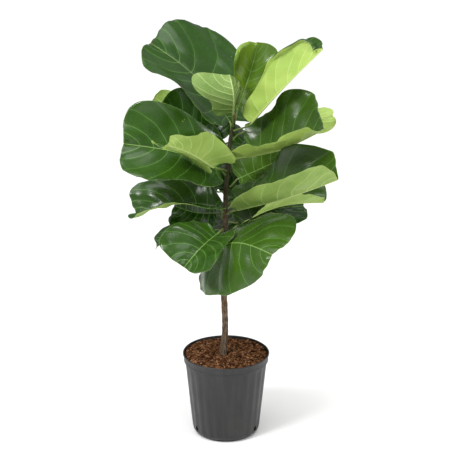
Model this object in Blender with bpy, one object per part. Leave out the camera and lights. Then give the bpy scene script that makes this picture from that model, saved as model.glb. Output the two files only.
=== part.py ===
"""A young fiddle leaf fig in a ten inch nursery pot.

Metres, +Z up. The origin is the middle of the pot's underside. The front of the plant faces -Y.
The plant is one trunk with broad leaves, each leaf a blade and its petiole in one solid, standing in
potting mix in a ribbed plastic pot.
"""

import math

import bmesh
import bpy
import numpy as np
from mathutils import Matrix

# ---------------------------------------------------------------- driving dimensions

GAP = 0.0003                # clearance between pieces that touch

POT_HEIGHT = 0.257
POT_BASE_RADIUS = 0.100
POT_TOP_RADIUS = 0.124
RIM_RADIUS = 0.131
RIM_HEIGHT = 0.024
POT_WALL = 0.0022
RIB_COUNT = 24
RIB_DEPTH = 0.0012
HOLE_COUNT = 3
HOLE_RADIUS = 0.008
HOLE_HEIGHT = 0.026
FIRST_HOLE_DEG = -150       # the drain holes' turn round the pot
POT_FLOOR = 0.003           # thickness of the bottom
POT_SEGMENTS = 72

SOIL_TOP = 0.247            # mean height of the mix, just under the brim
SOIL_UNEVEN = 0.0024        # how far the surface rises and dips
MIX_SEGMENTS = 36

# centre line of the trunk, buried foot to growing tip, and its radius at each point
TRUNK_LINE = ((-0.008, 0.000, 0.170), (-0.009, 0.000, 0.256), (-0.003, 0.002, 0.315), (-0.006, 0.000, 0.454),
              (-0.003, 0.002, 0.638), (-0.001, 0.000, 0.740), (0.004, 0.002, 0.832), (0.012, 0.004, 0.923),
              (0.022, 0.004, 0.975))
TRUNK_RADIUS = (0.0140, 0.0118, 0.0096, 0.0092, 0.0082, 0.0074, 0.0064, 0.0055, 0.0040)
TRUNK_SIDES = 12
TRUNK_RINGS = 44

BUD_HEIGHT = 0.030
BUD_SIDES = 8

PETIOLE_RADIUS = 0.0028
BLADE_THICKNESS = 0.0018
LEAF_ROWS = 10              # sections along the blade
PETIOLE_ROWS = 3
LEAF_COLUMNS = 7            # points across the upper face

# Half outline of a blade, base to tip: (share of the half width, share of the length).
FIDDLE = ((0.03, 0.0), (0.26, -0.035), (0.48, -0.015), (0.62, 0.06), (0.69, 0.16), (0.70, 0.27),
          (0.74, 0.38), (0.83, 0.50), (0.94, 0.62), (1.0, 0.74), (0.97, 0.86), (0.83, 0.96),
          (0.56, 1.01), (0.24, 1.01), (0.004, 0.99))
ROUND = ((0.03, 0.0), (0.32, -0.08), (0.62, -0.07), (0.84, 0.04), (0.96, 0.20), (1.0, 0.38),
         (0.99, 0.52), (0.95, 0.65), (0.87, 0.77), (0.76, 0.86), (0.62, 0.93), (0.46, 0.98),
         (0.30, 1.0), (0.14, 1.0), (0.004, 0.99))


def leaf(joint, midrib, face, half_width, fold=(15, 15), curl=(10, 10), wave=(0.008, 2.0, 0.0, 0.3),
         roundness=0.0, waist=1.0, lobe=0.0, sweep=(0, 0), left_width=1.0, bumps=(0, 2, 0, 0)):
    """One leaf's own numbers.

    joint: height on the trunk. midrib: blade base, middle and tip. face: where the upper side looks,
    at the base and at the tip. fold: degrees each half rises from flat, left then right as seen from
    the trunk. curl: degrees each half bends on towards its margin. wave: height, number and start of
    the ripples along the left and right margins. roundness: 0 fiddle shaped, 1 round. waist: width
    of the lower half. lobe: how far the base lobes reach back. sweep: how far each margin runs ahead.
    left_width: the left half's width over the right one's. bumps: size, number and start of the
    outline's own swells along the left and right margins.
    """
    return dict(joint=joint, midrib=midrib, face=face, half_width=half_width, fold=fold, curl=curl,
                wave=wave, roundness=roundness, waist=waist, lobe=lobe, sweep=sweep, left_width=left_width,
                bumps=bumps)


LEAVES = {
    # top tier
    "leaf_01": leaf(0.945, ((0.010, 0.050, 0.965), (-0.085, 0.125, 1.075), (-0.225, 0.170, 1.172)),
                    ((0.3, -0.6, 0.7), (0.3, -0.65, 0.7)), 0.210, fold=(25, -5), curl=(12, -8),
                    wave=(0.010, 2.5, 0.0, 0.4), roundness=0.5, left_width=0.75,
                    bumps=(0.11, 2.0, 0.0, 0.25)),
    "leaf_02": leaf(0.965, ((0.020, -0.030, 1.010), (0.020, -0.070, 1.085), (0.010, -0.050, 1.130)),
                    ((0, 0.8, 0.3), (0, 0.9, -0.2)), 0.112, fold=(75, -5), curl=(10, -10),
                    wave=(0.006, 2.0, 0.0, 0.3), waist=0.80, sweep=(0, 0.22)),
    "leaf_03": leaf(0.970, ((0.034, 0.040, 1.005), (0.070, 0.070, 1.105), (0.094, 0.075, 1.196)),
                    ((-0.5, -0.8, 0.2), (-0.2, -0.9, 0.3)), 0.075, fold=(50, 10), curl=(30, 10),
                    wave=(0.006, 2.0, 0.0, 0.3)),
    "leaf_04": leaf(0.950, ((0.074, -0.040, 0.985), (0.160, -0.100, 1.102), (0.270, -0.120, 1.220)),
                    ((-0.3, 0.7, 0.5), (-0.3, 0.7, 0.3)), 0.088, fold=(75, 62), curl=(15, 5),
                    wave=(0.006, 2.0, 0.0, 0.3)),
    "leaf_05": leaf(0.900, ((-0.015, 0.110, 0.890), (-0.055, 0.145, 0.930), (-0.095, 0.170, 0.970)),
                    ((0.1, -0.8, 0.5), (0.1, -0.9, 0.5)), 0.095, fold=(20, 10), curl=(10, 10),
                    wave=(0.006, 2.0, 0.0, 0.3)),
    # upper tier
    "leaf_06": leaf(0.870, ((-0.066, 0.190, 0.880), (-0.140, 0.210, 0.923), (-0.225, 0.210, 0.975)),
                    ((0.1, -0.8, 0.6), (0.1, 0.9, 0.2)), 0.060, fold=(30, 10),
                    wave=(0.010, 2.0, 0.0, 0.3)),
    "leaf_07": leaf(0.860, ((0.066, -0.035, 0.883), (0.166, -0.100, 0.928), (0.275, -0.160, 1.000)),
                    ((-0.1, -0.6, 0.8), (-0.1, -0.5, 0.8)), 0.166, fold=(20, 55), curl=(15, 5),
                    wave=(0.010, 2.5, 0.0, 0.3), roundness=0.25),
    "leaf_08": leaf(0.920, ((0.070, 0.060, 0.935), (0.205, 0.120, 0.945), (0.320, 0.150, 0.955)),
                    ((-0.1, -0.3, 0.9), (-0.1, 0.5, -0.5)), 0.045, fold=(20, 20), curl=(15, 20),
                    wave=(0.006, 2.0, 0.0, 0.3)),
    "leaf_09": leaf(0.850, ((-0.040, 0.065, 0.862), (-0.120, 0.070, 0.917), (-0.205, 0.070, 1.002)),
                    ((0.1, -0.8, 0.6), (0.1, -0.7, 0.6)), 0.110, fold=(70, 10),
                    wave=(0.010, 2.0, 0.0, 0.3)),
    "leaf_10": leaf(0.820, ((-0.020, -0.030, 0.845), (-0.130, -0.060, 0.900), (-0.295, -0.080, 0.935)),
                    ((0, -0.6, 0.8), (0, -0.6, 0.8)), 0.135, fold=(5, 37)),
    "leaf_11": leaf(0.830, ((-0.040, -0.112, 0.877), (-0.098, -0.184, 0.937), (-0.163, -0.262, 0.985)),
                    ((-0.5, 0.65, 0.27), (-0.5, 0.65, 0.27)), 0.085, fold=(-20, 60), curl=(5, 10),
                    wave=(0.017, 2.5, 0.1, 0.3), roundness=0.9, lobe=0.08),
    # middle tier
    "leaf_12": leaf(0.780, ((0.037, 0.003, 0.805), (0.125, 0.032, 0.837), (0.210, 0.050, 0.871)),
                    ((0, -0.6, 0.8), (0, -0.6, 0.8)), 0.100, fold=(15, 35),
                    wave=(0.010, 2.0, 0.0, 0.3)),
    "leaf_13": leaf(0.700, ((0.035, -0.060, 0.730), (0.175, -0.150, 0.797), (0.315, -0.220, 0.873)),
                    ((-0.1, -0.4, 0.9), (-0.1, -0.3, 0.9)), 0.108, fold=(40, 60), curl=(15, 10),
                    wave=(0.014, 2.5, 0.0, 0.3), left_width=1.22, bumps=(0.06, 2.0, 0.3, 0.1)),
    "leaf_14": leaf(0.705, ((-0.020, -0.030, 0.725), (-0.120, -0.050, 0.747), (-0.265, -0.030, 0.705)),
                    ((0, -0.6, 0.8), (0, -0.6, 0.8)), 0.095, fold=(50, 15), curl=(10, 5),
                    wave=(0.014, 2.5, 0.0, 0.3)),
    "leaf_15": leaf(0.680, ((-0.030, 0.028, 0.690), (-0.085, 0.036, 0.688), (-0.155, 0.042, 0.708)),
                    ((0, -0.7, 0.7), (0, -0.7, 0.7)), 0.095, fold=(15, 35),
                    wave=(0.010, 2.0, 0.0, 0.3)),
    # lower tier
    "leaf_16": leaf(0.635, ((0.042, 0.030, 0.658), (0.155, 0.030, 0.710), (0.290, 0.012, 0.728)),
                    ((-0.1, -0.5, 0.8), (-0.1, -0.2, 0.9)), 0.085, fold=(20, 50), curl=(15, 10),
                    wave=(0.010, 2.0, 0.0, 0.3)),
    "leaf_17": leaf(0.665, ((0.035, 0.047, 0.656), (0.130, 0.085, 0.680), (0.235, 0.110, 0.685)),
                    ((-0.1, -0.5, 0.8), (-0.1, -0.5, 0.9)), 0.070, fold=(20, 10), curl=(15, -10),
                    wave=(0.006, 2.0, 0.0, 0.3)),
    "leaf_18": leaf(0.650, ((-0.025, -0.105, 0.672), (-0.070, -0.172, 0.655), (-0.120, -0.220, 0.610)),
                    ((-0.1, -0.7, 0.6), (-0.1, -0.8, 0.5)), 0.112, fold=(38, 12)),
    "leaf_19": leaf(0.605, ((-0.048, -0.108, 0.624), (0.039, -0.208, 0.681), (0.130, -0.295, 0.676)),
                    ((-0.66, -0.36, 0.575), (-0.66, -0.46, 0.5)), 0.164, fold=(-30, -8),
                    curl=(-10, -12), wave=(0.006, 2.0, 0.0, 0.3), roundness=0.7, left_width=1.1,
                    sweep=(0, -0.22), lobe=0.12),
    # behind the trunk
    "leaf_20": leaf(0.840, ((0.020, 0.045, 0.811), (0.027, 0.120, 0.830), (0.029, 0.195, 0.844)),
                    ((0, -0.3, 1), (0, -0.2, 1)), 0.080),
    "leaf_21": leaf(0.755, ((-0.030, 0.068, 0.748), (-0.066, 0.145, 0.776), (-0.104, 0.216, 0.800)),
                    ((0, -0.3, 1), (0, -0.2, 1)), 0.100),
    "leaf_22": leaf(0.725, ((0.028, 0.040, 0.722), (0.068, 0.117, 0.753), (0.110, 0.200, 0.780)),
                    ((0, -0.3, 1), (0, -0.2, 1)), 0.100),
    "leaf_23": leaf(0.645, ((-0.035, 0.010, 0.645), (-0.105, 0.045, 0.620), (-0.210, 0.060, 0.580)),
                    ((0, -0.2, 1), (0, -0.2, 1)), 0.060, wave=(0.005, 2.0, 0.0, 0.3)),
    "leaf_24": leaf(0.630, ((-0.005, 0.060, 0.610), (-0.010, 0.140, 0.635), (-0.020, 0.220, 0.655)),
                    ((0, -0.3, 1), (0, -0.2, 1)), 0.095),
    "leaf_25": leaf(0.890, ((0.034, 0.050, 0.872), (0.058, 0.110, 0.892), (0.078, 0.165, 0.905)),
                    ((0, -0.3, 0.95), (0, -0.2, 1)), 0.055),
}


# ---------------------------------------------------------------- curves and small maths

def unit(vectors):
    """Vectors at length one."""
    return vectors / np.maximum(np.linalg.norm(vectors, axis=-1, keepdims=True), 1e-9)


def ease(x):
    """0 below 0, 1 above 1, and a smooth rise between."""
    x = np.clip(x, 0, 1)
    return x * x * (3 - 2 * x)


def curve_through(points, t):
    """A smooth cubic through the points, read at t from 0 to 1."""
    p = np.asarray(points, float)
    steps = np.linalg.norm(np.diff(p, axis=0), axis=1) ** 0.7
    knots = np.concatenate([[0], np.cumsum(steps)]) / steps.sum()
    width = np.diff(knots)[:, None]
    rise = np.diff(p, axis=0) / width
    slope = np.empty_like(p)
    slope[1:-1] = (rise[:-1] * width[1:] + rise[1:] * width[:-1]) / (width[:-1] + width[1:])
    slope[0] = 1.5 * rise[0] - 0.5 * slope[1]
    slope[-1] = 1.5 * rise[-1] - 0.5 * slope[-2]
    i = np.clip(np.searchsorted(knots, t, side="right") - 1, 0, len(p) - 2)
    h = width[i]
    s = (np.asarray(t) - knots[i])[:, None] / h
    start = (2 * s**3 - 3 * s**2 + 1) * p[i] + (s**3 - 2 * s**2 + s) * slope[i] * h
    end = (3 * s**2 - 2 * s**3) * p[i + 1] + (s**3 - s**2) * slope[i + 1] * h
    return start + end


# ---------------------------------------------------------------- making objects

def clear_scene():
    """Removes whatever the opened file holds."""
    for old in list(bpy.data.objects):
        bpy.data.objects.remove(old, do_unlink=True)


def plain_material(name, colour, roughness, specular=0.5):
    """A Principled material of one colour."""
    mat = bpy.data.materials.new(name)
    mat.use_nodes = True
    shader = mat.node_tree.nodes["Principled BSDF"]
    shader.inputs["Base Color"].default_value = (*colour, 1)
    shader.inputs["Roughness"].default_value = roughness
    shader.inputs["Specular IOR Level"].default_value = specular
    return mat


def add_object(name, vertices, faces, mat, smooth_angle=40):
    """A mesh object with smooth shading under the given angle."""
    mesh = bpy.data.meshes.new(name)
    mesh.from_pydata([tuple(v) for v in np.asarray(vertices).tolist()], [], [tuple(f) for f in faces])
    mesh.update()
    mesh.shade_smooth()
    mesh.set_sharp_from_angle(angle=math.radians(smooth_angle))
    mesh.materials.append(mat)
    obj = bpy.data.objects.new(name, mesh)
    bpy.context.scene.collection.objects.link(obj)
    return obj


def tube_faces(rings, around):
    """Faces of a tube of rings joined in turn, with both ends closed."""
    faces = []
    for i in range(rings - 1):
        for j in range(around):
            k = (j + 1) % around
            a, b = i * around + j, i * around + k
            faces.append((a, b, b + around, a + around))
    faces.append(tuple(range(around - 1, -1, -1)))
    last = (rings - 1) * around
    faces.append(tuple(last + j for j in range(around)))
    return faces


def cut(target, cutter):
    """Takes the cutter's shape out of the target."""
    mod = target.modifiers.new(cutter.name, "BOOLEAN")
    mod.operation = "DIFFERENCE"
    mod.solver = "EXACT"
    mod.object = cutter
    cutter.hide_render = True
    cutter.display_type = "WIRE"


# ---------------------------------------------------------------- pot and mix

def pot_wall_radius(z):
    """Outer radius of the plain tapered wall at a height."""
    return POT_BASE_RADIUS + (POT_TOP_RADIUS - POT_BASE_RADIUS) * z / (POT_HEIGHT - RIM_HEIGHT)


def make_pot(mat):
    """The pot: a turned wall with upright ribs, a rim band and a rolled lip, holes cut low down."""
    band = POT_HEIGHT - RIM_HEIGHT
    inner = POT_WALL
    # (radius, height, share of the rib depth), outside from the base up, then inside down
    profile = [
        (POT_BASE_RADIUS - 0.012, 0.0, 0), (POT_BASE_RADIUS - 0.002, 0.009, 0),
        (pot_wall_radius(0.018), 0.018, 1), (pot_wall_radius(0.120), 0.120, 1),
        (pot_wall_radius(band - 0.010), band - 0.010, 1), (POT_TOP_RADIUS, band - 0.002, 0),
        (RIM_RADIUS - 0.0035, band, 0), (RIM_RADIUS - 0.0015, POT_HEIGHT - 0.005, 0),
        (RIM_RADIUS, POT_HEIGHT - 0.004, 0), (RIM_RADIUS, POT_HEIGHT - 0.001, 0),
        (RIM_RADIUS - 0.001, POT_HEIGHT, 0), (RIM_RADIUS - 0.0035, POT_HEIGHT, 0),
        (RIM_RADIUS - 0.0045, POT_HEIGHT - 0.002, 0), (RIM_RADIUS - 0.0060, band + 0.002, 0),
        (POT_TOP_RADIUS - inner, band - 0.003, 0), (pot_wall_radius(0.120) - inner, 0.120, 1),
        (pot_wall_radius(0.018) - inner, 0.018, 1), (POT_BASE_RADIUS - 0.002 - inner, 0.010, 0),
        (POT_BASE_RADIUS - 0.012 - inner, POT_FLOOR, 0),
    ]
    angle = np.linspace(0, 2 * np.pi, POT_SEGMENTS, endpoint=False)
    rib = RIB_DEPTH * (0.5 + 0.5 * np.cos(RIB_COUNT * angle)) - RIB_DEPTH
    rings = [np.stack([(r + share * rib) * np.cos(angle), (r + share * rib) * np.sin(angle),
                       np.full_like(angle, z)], -1) for r, z, share in profile]
    pot = add_object("pot", np.concatenate(rings), tube_faces(len(profile), POT_SEGMENTS), mat)

    cutters = bmesh.new()
    for k in range(HOLE_COUNT):
        turn = math.radians(FIRST_HOLE_DEG) + 2 * math.pi * k / HOLE_COUNT
        made = bmesh.ops.create_cone(cutters, cap_ends=True, segments=12, radius1=HOLE_RADIUS,
                                     radius2=HOLE_RADIUS, depth=0.020)["verts"]
        bmesh.ops.rotate(cutters, verts=made, matrix=Matrix.Rotation(math.pi / 2, 3, "Y"))
        bmesh.ops.translate(cutters, verts=made, vec=(POT_BASE_RADIUS, 0, HOLE_HEIGHT))
        bmesh.ops.rotate(cutters, verts=made, matrix=Matrix.Rotation(turn, 3, "Z"))
    mesh = bpy.data.meshes.new("drain_holes")
    cutters.to_mesh(mesh)
    cutters.free()
    holes = bpy.data.objects.new("drain_holes", mesh)
    bpy.context.scene.collection.objects.link(holes)
    cut(pot, holes)
    return pot


def make_mix(mat, trunk_cutter):
    """The potting mix: fills the pot to just under the brim, uneven on top, open where the trunk stands."""
    inner = POT_WALL + RIB_DEPTH + GAP
    band = POT_HEIGHT - RIM_HEIGHT
    wall = [(0.006, POT_FLOOR + GAP), (POT_BASE_RADIUS - 0.014 - inner, POT_FLOOR + GAP),
            (POT_BASE_RADIUS - 0.004 - inner, 0.012), (pot_wall_radius(0.120) - inner, 0.120),
            (pot_wall_radius(band - 0.012) - inner, band - 0.012), (RIM_RADIUS - 0.0085, band + 0.003),
            (RIM_RADIUS - 0.0068, SOIL_TOP - 0.003)]
    top = [(0.118, SOIL_TOP), (0.098, SOIL_TOP), (0.074, SOIL_TOP), (0.048, SOIL_TOP), (0.024, SOIL_TOP),
           (0.006, SOIL_TOP)]
    angle = np.linspace(0, 2 * np.pi, MIX_SEGMENTS, endpoint=False)
    rings = []
    for r, z in wall:
        rings.append(np.stack([r * np.cos(angle), r * np.sin(angle), np.full_like(angle, z)], -1))
    for r, z in top:
        lumps = np.sin(3 * angle + 40 * r) * np.cos(55 * r + angle) + 0.5 * np.sin(7 * angle - 90 * r)
        lift = SOIL_UNEVEN * lumps * ease(r / 0.03)
        rings.append(np.stack([r * np.cos(angle), r * np.sin(angle), z + lift], -1))
    mix = add_object("potting_mix", np.concatenate(rings), tube_faces(len(rings), MIX_SEGMENTS), mat)
    cut(mix, trunk_cutter)
    return mix


# ---------------------------------------------------------------- trunk

def trunk_at(height):
    """The trunk's centre and radius at a height."""
    line = np.array(TRUNK_LINE)
    centre = np.array([np.interp(height, line[:, 2], line[:, k]) for k in range(2)] + [height])
    return centre, float(np.interp(height, line[:, 2], TRUNK_RADIUS))


def trunk_mesh(extra, rings, sides):
    """Rings round the centre line, each level, at the trunk's radius plus extra."""
    share = np.linspace(0, 1, rings)
    data = curve_through([(*p, r) for p, r in zip(TRUNK_LINE, TRUNK_RADIUS)], share)
    angle = np.linspace(0, 2 * np.pi, sides, endpoint=False)
    circle = np.stack([np.cos(angle), np.sin(angle), np.zeros(sides)], -1)
    verts = data[:, None, :3] + circle[None] * (data[:, 3] + extra)[:, None, None]
    return verts.reshape(-1, 3)


def make_trunk(mat):
    """The woody trunk from its buried foot to the growing tip, and the cutter that clears the mix."""
    verts = trunk_mesh(0.0, TRUNK_RINGS, TRUNK_SIDES)
    trunk = add_object("trunk", verts, tube_faces(TRUNK_RINGS, TRUNK_SIDES), mat)
    wide = trunk_mesh(GAP * 1.5, TRUNK_RINGS, TRUNK_SIDES)
    wide[:TRUNK_SIDES, 2] -= GAP
    cutter = add_object("trunk_clearance", wide, tube_faces(TRUNK_RINGS, TRUNK_SIDES), mat)
    return trunk, cutter


def make_bud(mat):
    """The pointed sheath round the growing tip, standing on the end of the trunk."""
    foot = np.array(TRUNK_LINE[-1]) + (0, 0, GAP)
    lean = np.array((0.10, -0.05, 1.0))
    shares = np.array((0.0, 0.15, 0.4, 0.65, 0.85, 0.97))
    radii = np.array((0.0030, 0.0048, 0.0052, 0.0038, 0.0020, 0.0006))
    angle = np.linspace(0, 2 * np.pi, BUD_SIDES, endpoint=False)
    circle = np.stack([np.cos(angle), np.sin(angle), np.zeros(BUD_SIDES)], -1)
    centre = foot + shares[:, None] * BUD_HEIGHT * lean
    verts = centre[:, None] + circle[None] * radii[:, None, None]
    return add_object("terminal_bud", verts.reshape(-1, 3), tube_faces(len(shares), BUD_SIDES), mat)


# ---------------------------------------------------------------- leaves

def blade_points(spec, t, u):
    """Points of the blade's middle surface.

    t runs from base to tip and u from -1, the right margin, to 1, the left one. A row of equal t
    leaves the midrib and sweeps forward to the outline. Across a row each half starts at its fold
    angle and bends on by its curl, an arc of a circle, and the margin ripples.
    """
    mix = spec["roundness"]
    edge = curve_through(np.array(FIDDLE) * (1 - mix) + np.array(ROUND) * mix, t)
    low = 1 - ease((edge[:, 1] - 0.3) / 0.35)
    edge_x = edge[:, 0] * (1 + (spec["waist"] - 1) * low)
    edge_y = edge[:, 1] - spec["lobe"] * np.exp(-((t - 0.17) / 0.11) ** 2)
    mid_y = t ** 1.12 * 0.985
    along, across = np.meshgrid(t, u, indexing="ij")
    reach = np.abs(across)
    left = across >= 0
    size, number, from_left, from_right = spec["bumps"]
    swell = 1 + size * np.sin(2 * np.pi * (number * along + np.where(left, from_left, from_right)))
    x = edge_x[:, None] * reach * np.where(left, spec["left_width"], 1) * swell
    y = mid_y[:, None] + (edge_y - mid_y)[:, None] * reach ** 1.6
    y = y + np.where(left, *spec["sweep"]) * x ** 1.5 * ease(along / 0.6)

    rib = curve_through(spec["midrib"], np.linspace(0, 1, 401))
    arc = np.concatenate([[0], np.cumsum(np.linalg.norm(np.diff(rib, axis=0), axis=1))])
    forward = unit(np.gradient(rib, axis=0))
    inside = np.clip(y, 0, 1)
    centre = np.stack([np.interp(inside * arc[-1], arc, rib[:, k]) for k in range(3)], -1)
    tangent = unit(np.stack([np.interp(inside * arc[-1], arc, forward[:, k]) for k in range(3)], -1))
    centre = centre + tangent * ((y - inside) * arc[-1])[..., None]
    base_face, tip_face = (unit(np.array(f, float)) for f in spec["face"])
    up = base_face * (1 - inside[..., None]) + tip_face * inside[..., None]
    up = unit(up - (up * tangent).sum(-1, keepdims=True) * tangent)
    side = np.cross(up, tangent)

    fold = np.radians(np.where(left, spec["fold"][0], spec["fold"][1]))
    curl = np.radians(np.where(left, spec["curl"][0], spec["curl"][1]) + 0.05)
    out = (np.sin(fold + curl * x) - np.sin(fold)) / curl
    rise = (np.cos(fold) - np.cos(fold + curl * x)) / curl
    height, count, start_left, start_right = spec["wave"]
    ripple = np.sin(2 * np.pi * (count * along + np.where(left, start_left, start_right)))
    fade = ease(along / 0.15) * ease((1 - along) / 0.1)
    rise = rise * spec["half_width"] + height * reach ** 2.2 * ripple * fade
    out = out * spec["half_width"] * np.where(left, 1, -1)
    return centre + side * out[..., None] + up * rise[..., None]


def blade_normals(spec, t, u):
    """Upper side normals of the middle surface, from small steps in both directions."""
    step = 1e-3
    ahead = blade_points(spec, np.minimum(t + step, 1), u) - blade_points(spec, np.maximum(t - step, 0), u)
    aside = blade_points(spec, t, np.minimum(u + step, 1)) - blade_points(spec, t, np.maximum(u - step, -1))
    return unit(np.cross(ahead, aside))


def petiole_line(spec, count):
    """Centres and directions from the trunk's skin to the blade, a cubic with an outward, rising start."""
    blade_base = np.array(spec["midrib"][0])
    axis, radius = trunk_at(spec["joint"])
    outward = blade_base - axis
    outward[2] = 0
    outward = unit(outward)
    start = axis + outward * (radius + GAP + 0.9 * PETIOLE_RADIUS)
    span = np.linalg.norm(blade_base - start)
    rib = curve_through(spec["midrib"], np.linspace(0, 1, 40))
    leave = unit(outward + (0, 0, 0.6)) * span * 0.35
    arrive = unit(rib[1] - rib[0]) * span * 0.35
    s = np.linspace(0, 1, count + 1)[:-1, None]
    a, b, c, d = start, start + leave, blade_base - arrive, blade_base
    line = (1 - s)**3 * a + 3 * (1 - s)**2 * s * b + 3 * (1 - s) * s**2 * c + s**3 * d
    tangent = (1 - s)**2 * (b - a) + 2 * (1 - s) * s * (c - b) + s**2 * (d - c)
    return line, unit(tangent)


def leaf_loops(spec):
    """Closed sections from the petiole's foot to the blade's tip, each from right margin over the
    upper side to the left margin and back along the underside."""
    across = np.linspace(-1, 1, LEAF_COLUMNS)
    line, tangent = petiole_line(spec, PETIOLE_ROWS)
    up = unit(np.array(spec["face"][0], float))
    up = unit(up - (tangent @ up)[:, None] * tangent)
    side = np.cross(up, tangent)
    turn = np.pi * (0.5 - 0.5 * across)
    reach_out, reach_up = np.cos(turn) * PETIOLE_RADIUS, np.sin(turn) * PETIOLE_RADIUS
    flat = line[:, None] + side[:, None] * reach_out[None, :, None]
    lift = up[:, None] * reach_up[None, :, None]
    stalk_top, stalk_bottom = flat + lift, flat - lift

    share = np.linspace(0, 1, LEAF_ROWS)
    t = 0.55 * share + 0.45 * (0.5 - 0.5 * np.cos(np.pi * share))
    middle = blade_points(spec, t, across)
    half = np.full(LEAF_COLUMNS, BLADE_THICKNESS / 2)
    half[[0, -1]] = 0
    lift = blade_normals(spec, t, across) * half[None, :, None]
    top = np.concatenate([stalk_top, middle + lift])
    bottom = np.concatenate([stalk_bottom, middle - lift])
    return np.concatenate([top, bottom[:, -2:0:-1]], axis=1)


def leaf_faces(rows, columns):
    """Triangles between the sections, cut on the same diagonal above and below, with closed ends."""
    around = 2 * columns - 2
    faces = []
    for i in range(rows - 1):
        for j in range(around):
            k = (j + 1) % around
            a, b = i * around + j, i * around + k
            c, d = a + around, b + around
            if j < columns - 1:
                faces += [(a, d, b), (a, c, d)]
            else:
                faces += [(a, c, b), (b, c, d)]
    last = (rows - 1) * around
    for j in range(columns - 1):
        ring = tuple(dict.fromkeys((j, j + 1, around - j - 1, (around - j) % around)))
        faces.append(ring)
        faces.append(tuple(last + n for n in reversed(ring)))
    return faces


def make_leaf(name, spec, mat):
    """One leaf, blade and petiole in one closed solid."""
    loops = leaf_loops(spec)
    rows = loops.shape[0]
    return add_object(name, loops.reshape(-1, 3), leaf_faces(rows, LEAF_COLUMNS), mat, smooth_angle=60)


# ---------------------------------------------------------------- build

def main():
    clear_scene()
    make_pot(plain_material("pot_plastic", (0.045, 0.048, 0.050), 0.5))
    trunk, clearance = make_trunk(plain_material("bark", (0.23, 0.16, 0.11), 0.85))
    make_mix(plain_material("bark_mix", (0.19, 0.085, 0.045), 0.95), clearance)
    make_bud(plain_material("bud_sheath", (0.20, 0.12, 0.05), 0.6))
    green = (0.035, 0.115, 0.012)
    for name, spec in LEAVES.items():
        make_leaf(name, spec, plain_material(name + "_green", green, 0.35))


main()
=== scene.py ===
# %% [markdown]
# # A young fiddle leaf fig in its nursery pot
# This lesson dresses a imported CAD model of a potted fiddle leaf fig. The CAD gives each piece its place
# and size: a ribbed pot, the potting mix, the trunk and its bud, and twenty-five leaves. Here each of
# them gets its fine shape and its finish. The CAD leaves are coarse solids, so each one is replaced by a
# thin, veined blade that follows the same curves.

import math

import bpy
import numpy as np
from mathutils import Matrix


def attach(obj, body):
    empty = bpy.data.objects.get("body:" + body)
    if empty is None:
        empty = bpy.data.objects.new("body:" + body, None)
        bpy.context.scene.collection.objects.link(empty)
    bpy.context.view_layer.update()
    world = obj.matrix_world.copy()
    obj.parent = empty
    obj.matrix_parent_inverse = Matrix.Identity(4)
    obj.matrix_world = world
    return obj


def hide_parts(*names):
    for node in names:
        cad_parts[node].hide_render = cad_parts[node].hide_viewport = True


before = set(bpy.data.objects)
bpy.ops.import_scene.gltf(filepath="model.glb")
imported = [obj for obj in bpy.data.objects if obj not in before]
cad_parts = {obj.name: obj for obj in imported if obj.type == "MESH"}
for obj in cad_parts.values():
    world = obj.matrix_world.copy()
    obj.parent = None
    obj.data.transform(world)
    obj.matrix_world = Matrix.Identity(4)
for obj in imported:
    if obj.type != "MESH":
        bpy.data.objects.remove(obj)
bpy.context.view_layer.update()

# %% [markdown]
# ## Small maths
# Every shape below is a grid of points worked out as whole arrays. These helpers are the shared sums: a
# vector at length one, a smooth step, a smooth curve through a few points, and a gentle unevenness made
# of a few waves in fixed directions, which gives the same result on each run.


# %% Curves and unevenness
def unit(vectors):
    """Vectors at length one."""
    return vectors / np.maximum(np.linalg.norm(vectors, axis=-1, keepdims=True), 1e-9)


def ease(x):
    """0 below 0, 1 above 1, and a smooth rise between: x squared times (3 - 2x)."""
    x = np.clip(x, 0, 1)
    return x * x * (3 - 2 * x)


def curve_through(points, t):
    """A smooth cubic through the points, read at t from 0 to 1. Each stretch is a Hermite cubic."""
    p = np.asarray(points, float)
    steps = np.linalg.norm(np.diff(p, axis=0), axis=1) ** 0.7
    knots = np.concatenate([[0], np.cumsum(steps)]) / steps.sum()
    width = np.diff(knots)[:, None]
    rise = np.diff(p, axis=0) / width
    slope = np.empty_like(p)
    slope[1:-1] = (rise[:-1] * width[1:] + rise[1:] * width[:-1]) / (width[:-1] + width[1:])
    slope[0] = 1.5 * rise[0] - 0.5 * slope[1]
    slope[-1] = 1.5 * rise[-1] - 0.5 * slope[-2]
    i = np.clip(np.searchsorted(knots, t, side="right") - 1, 0, len(p) - 2)
    h = width[i]
    s = (np.asarray(t) - knots[i])[:, None] / h
    start = (2 * s**3 - 3 * s**2 + 1) * p[i] + (s**3 - 2 * s**2 + s) * slope[i] * h
    end = (3 * s**2 - 2 * s**3) * p[i + 1] + (s**3 - s**2) * slope[i + 1] * h
    return start + end


def uneven(points, size, seed, waves=7):
    """A smooth value from about -1 to 1: the mean of sine waves of roughly one size in seeded directions."""
    draw = np.random.default_rng(seed)
    ways = unit(draw.normal(size=(waves, 3))) * draw.uniform(0.7, 1.5, (waves, 1))
    starts = draw.uniform(0, 2 * np.pi, waves)
    return np.sin(points @ ways.T * (2 * np.pi / size) + starts).sum(-1) / math.sqrt(waves)


# %% [markdown]
# ## Making a mesh
# A grid of points becomes a mesh by joining each point to its neighbours in the next row and the next
# column. A tube is a grid whose columns wrap round. The maker below also stores extra values on the
# points, such as the distance to a leaf's edge, for the materials to read.


# %% Mesh makers
def ring_quads(rows, around):
    """Quads of a tube whose rings are listed in turn. They face outwards if each ring runs anticlockwise
    as seen from its far end."""
    i, j = np.meshgrid(np.arange(rows - 1), np.arange(around), indexing="ij")
    a, b = i * around + j, i * around + (j + 1) % around
    return np.stack([a, b, b + around, a + around], -1).reshape(-1, 4)


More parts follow.
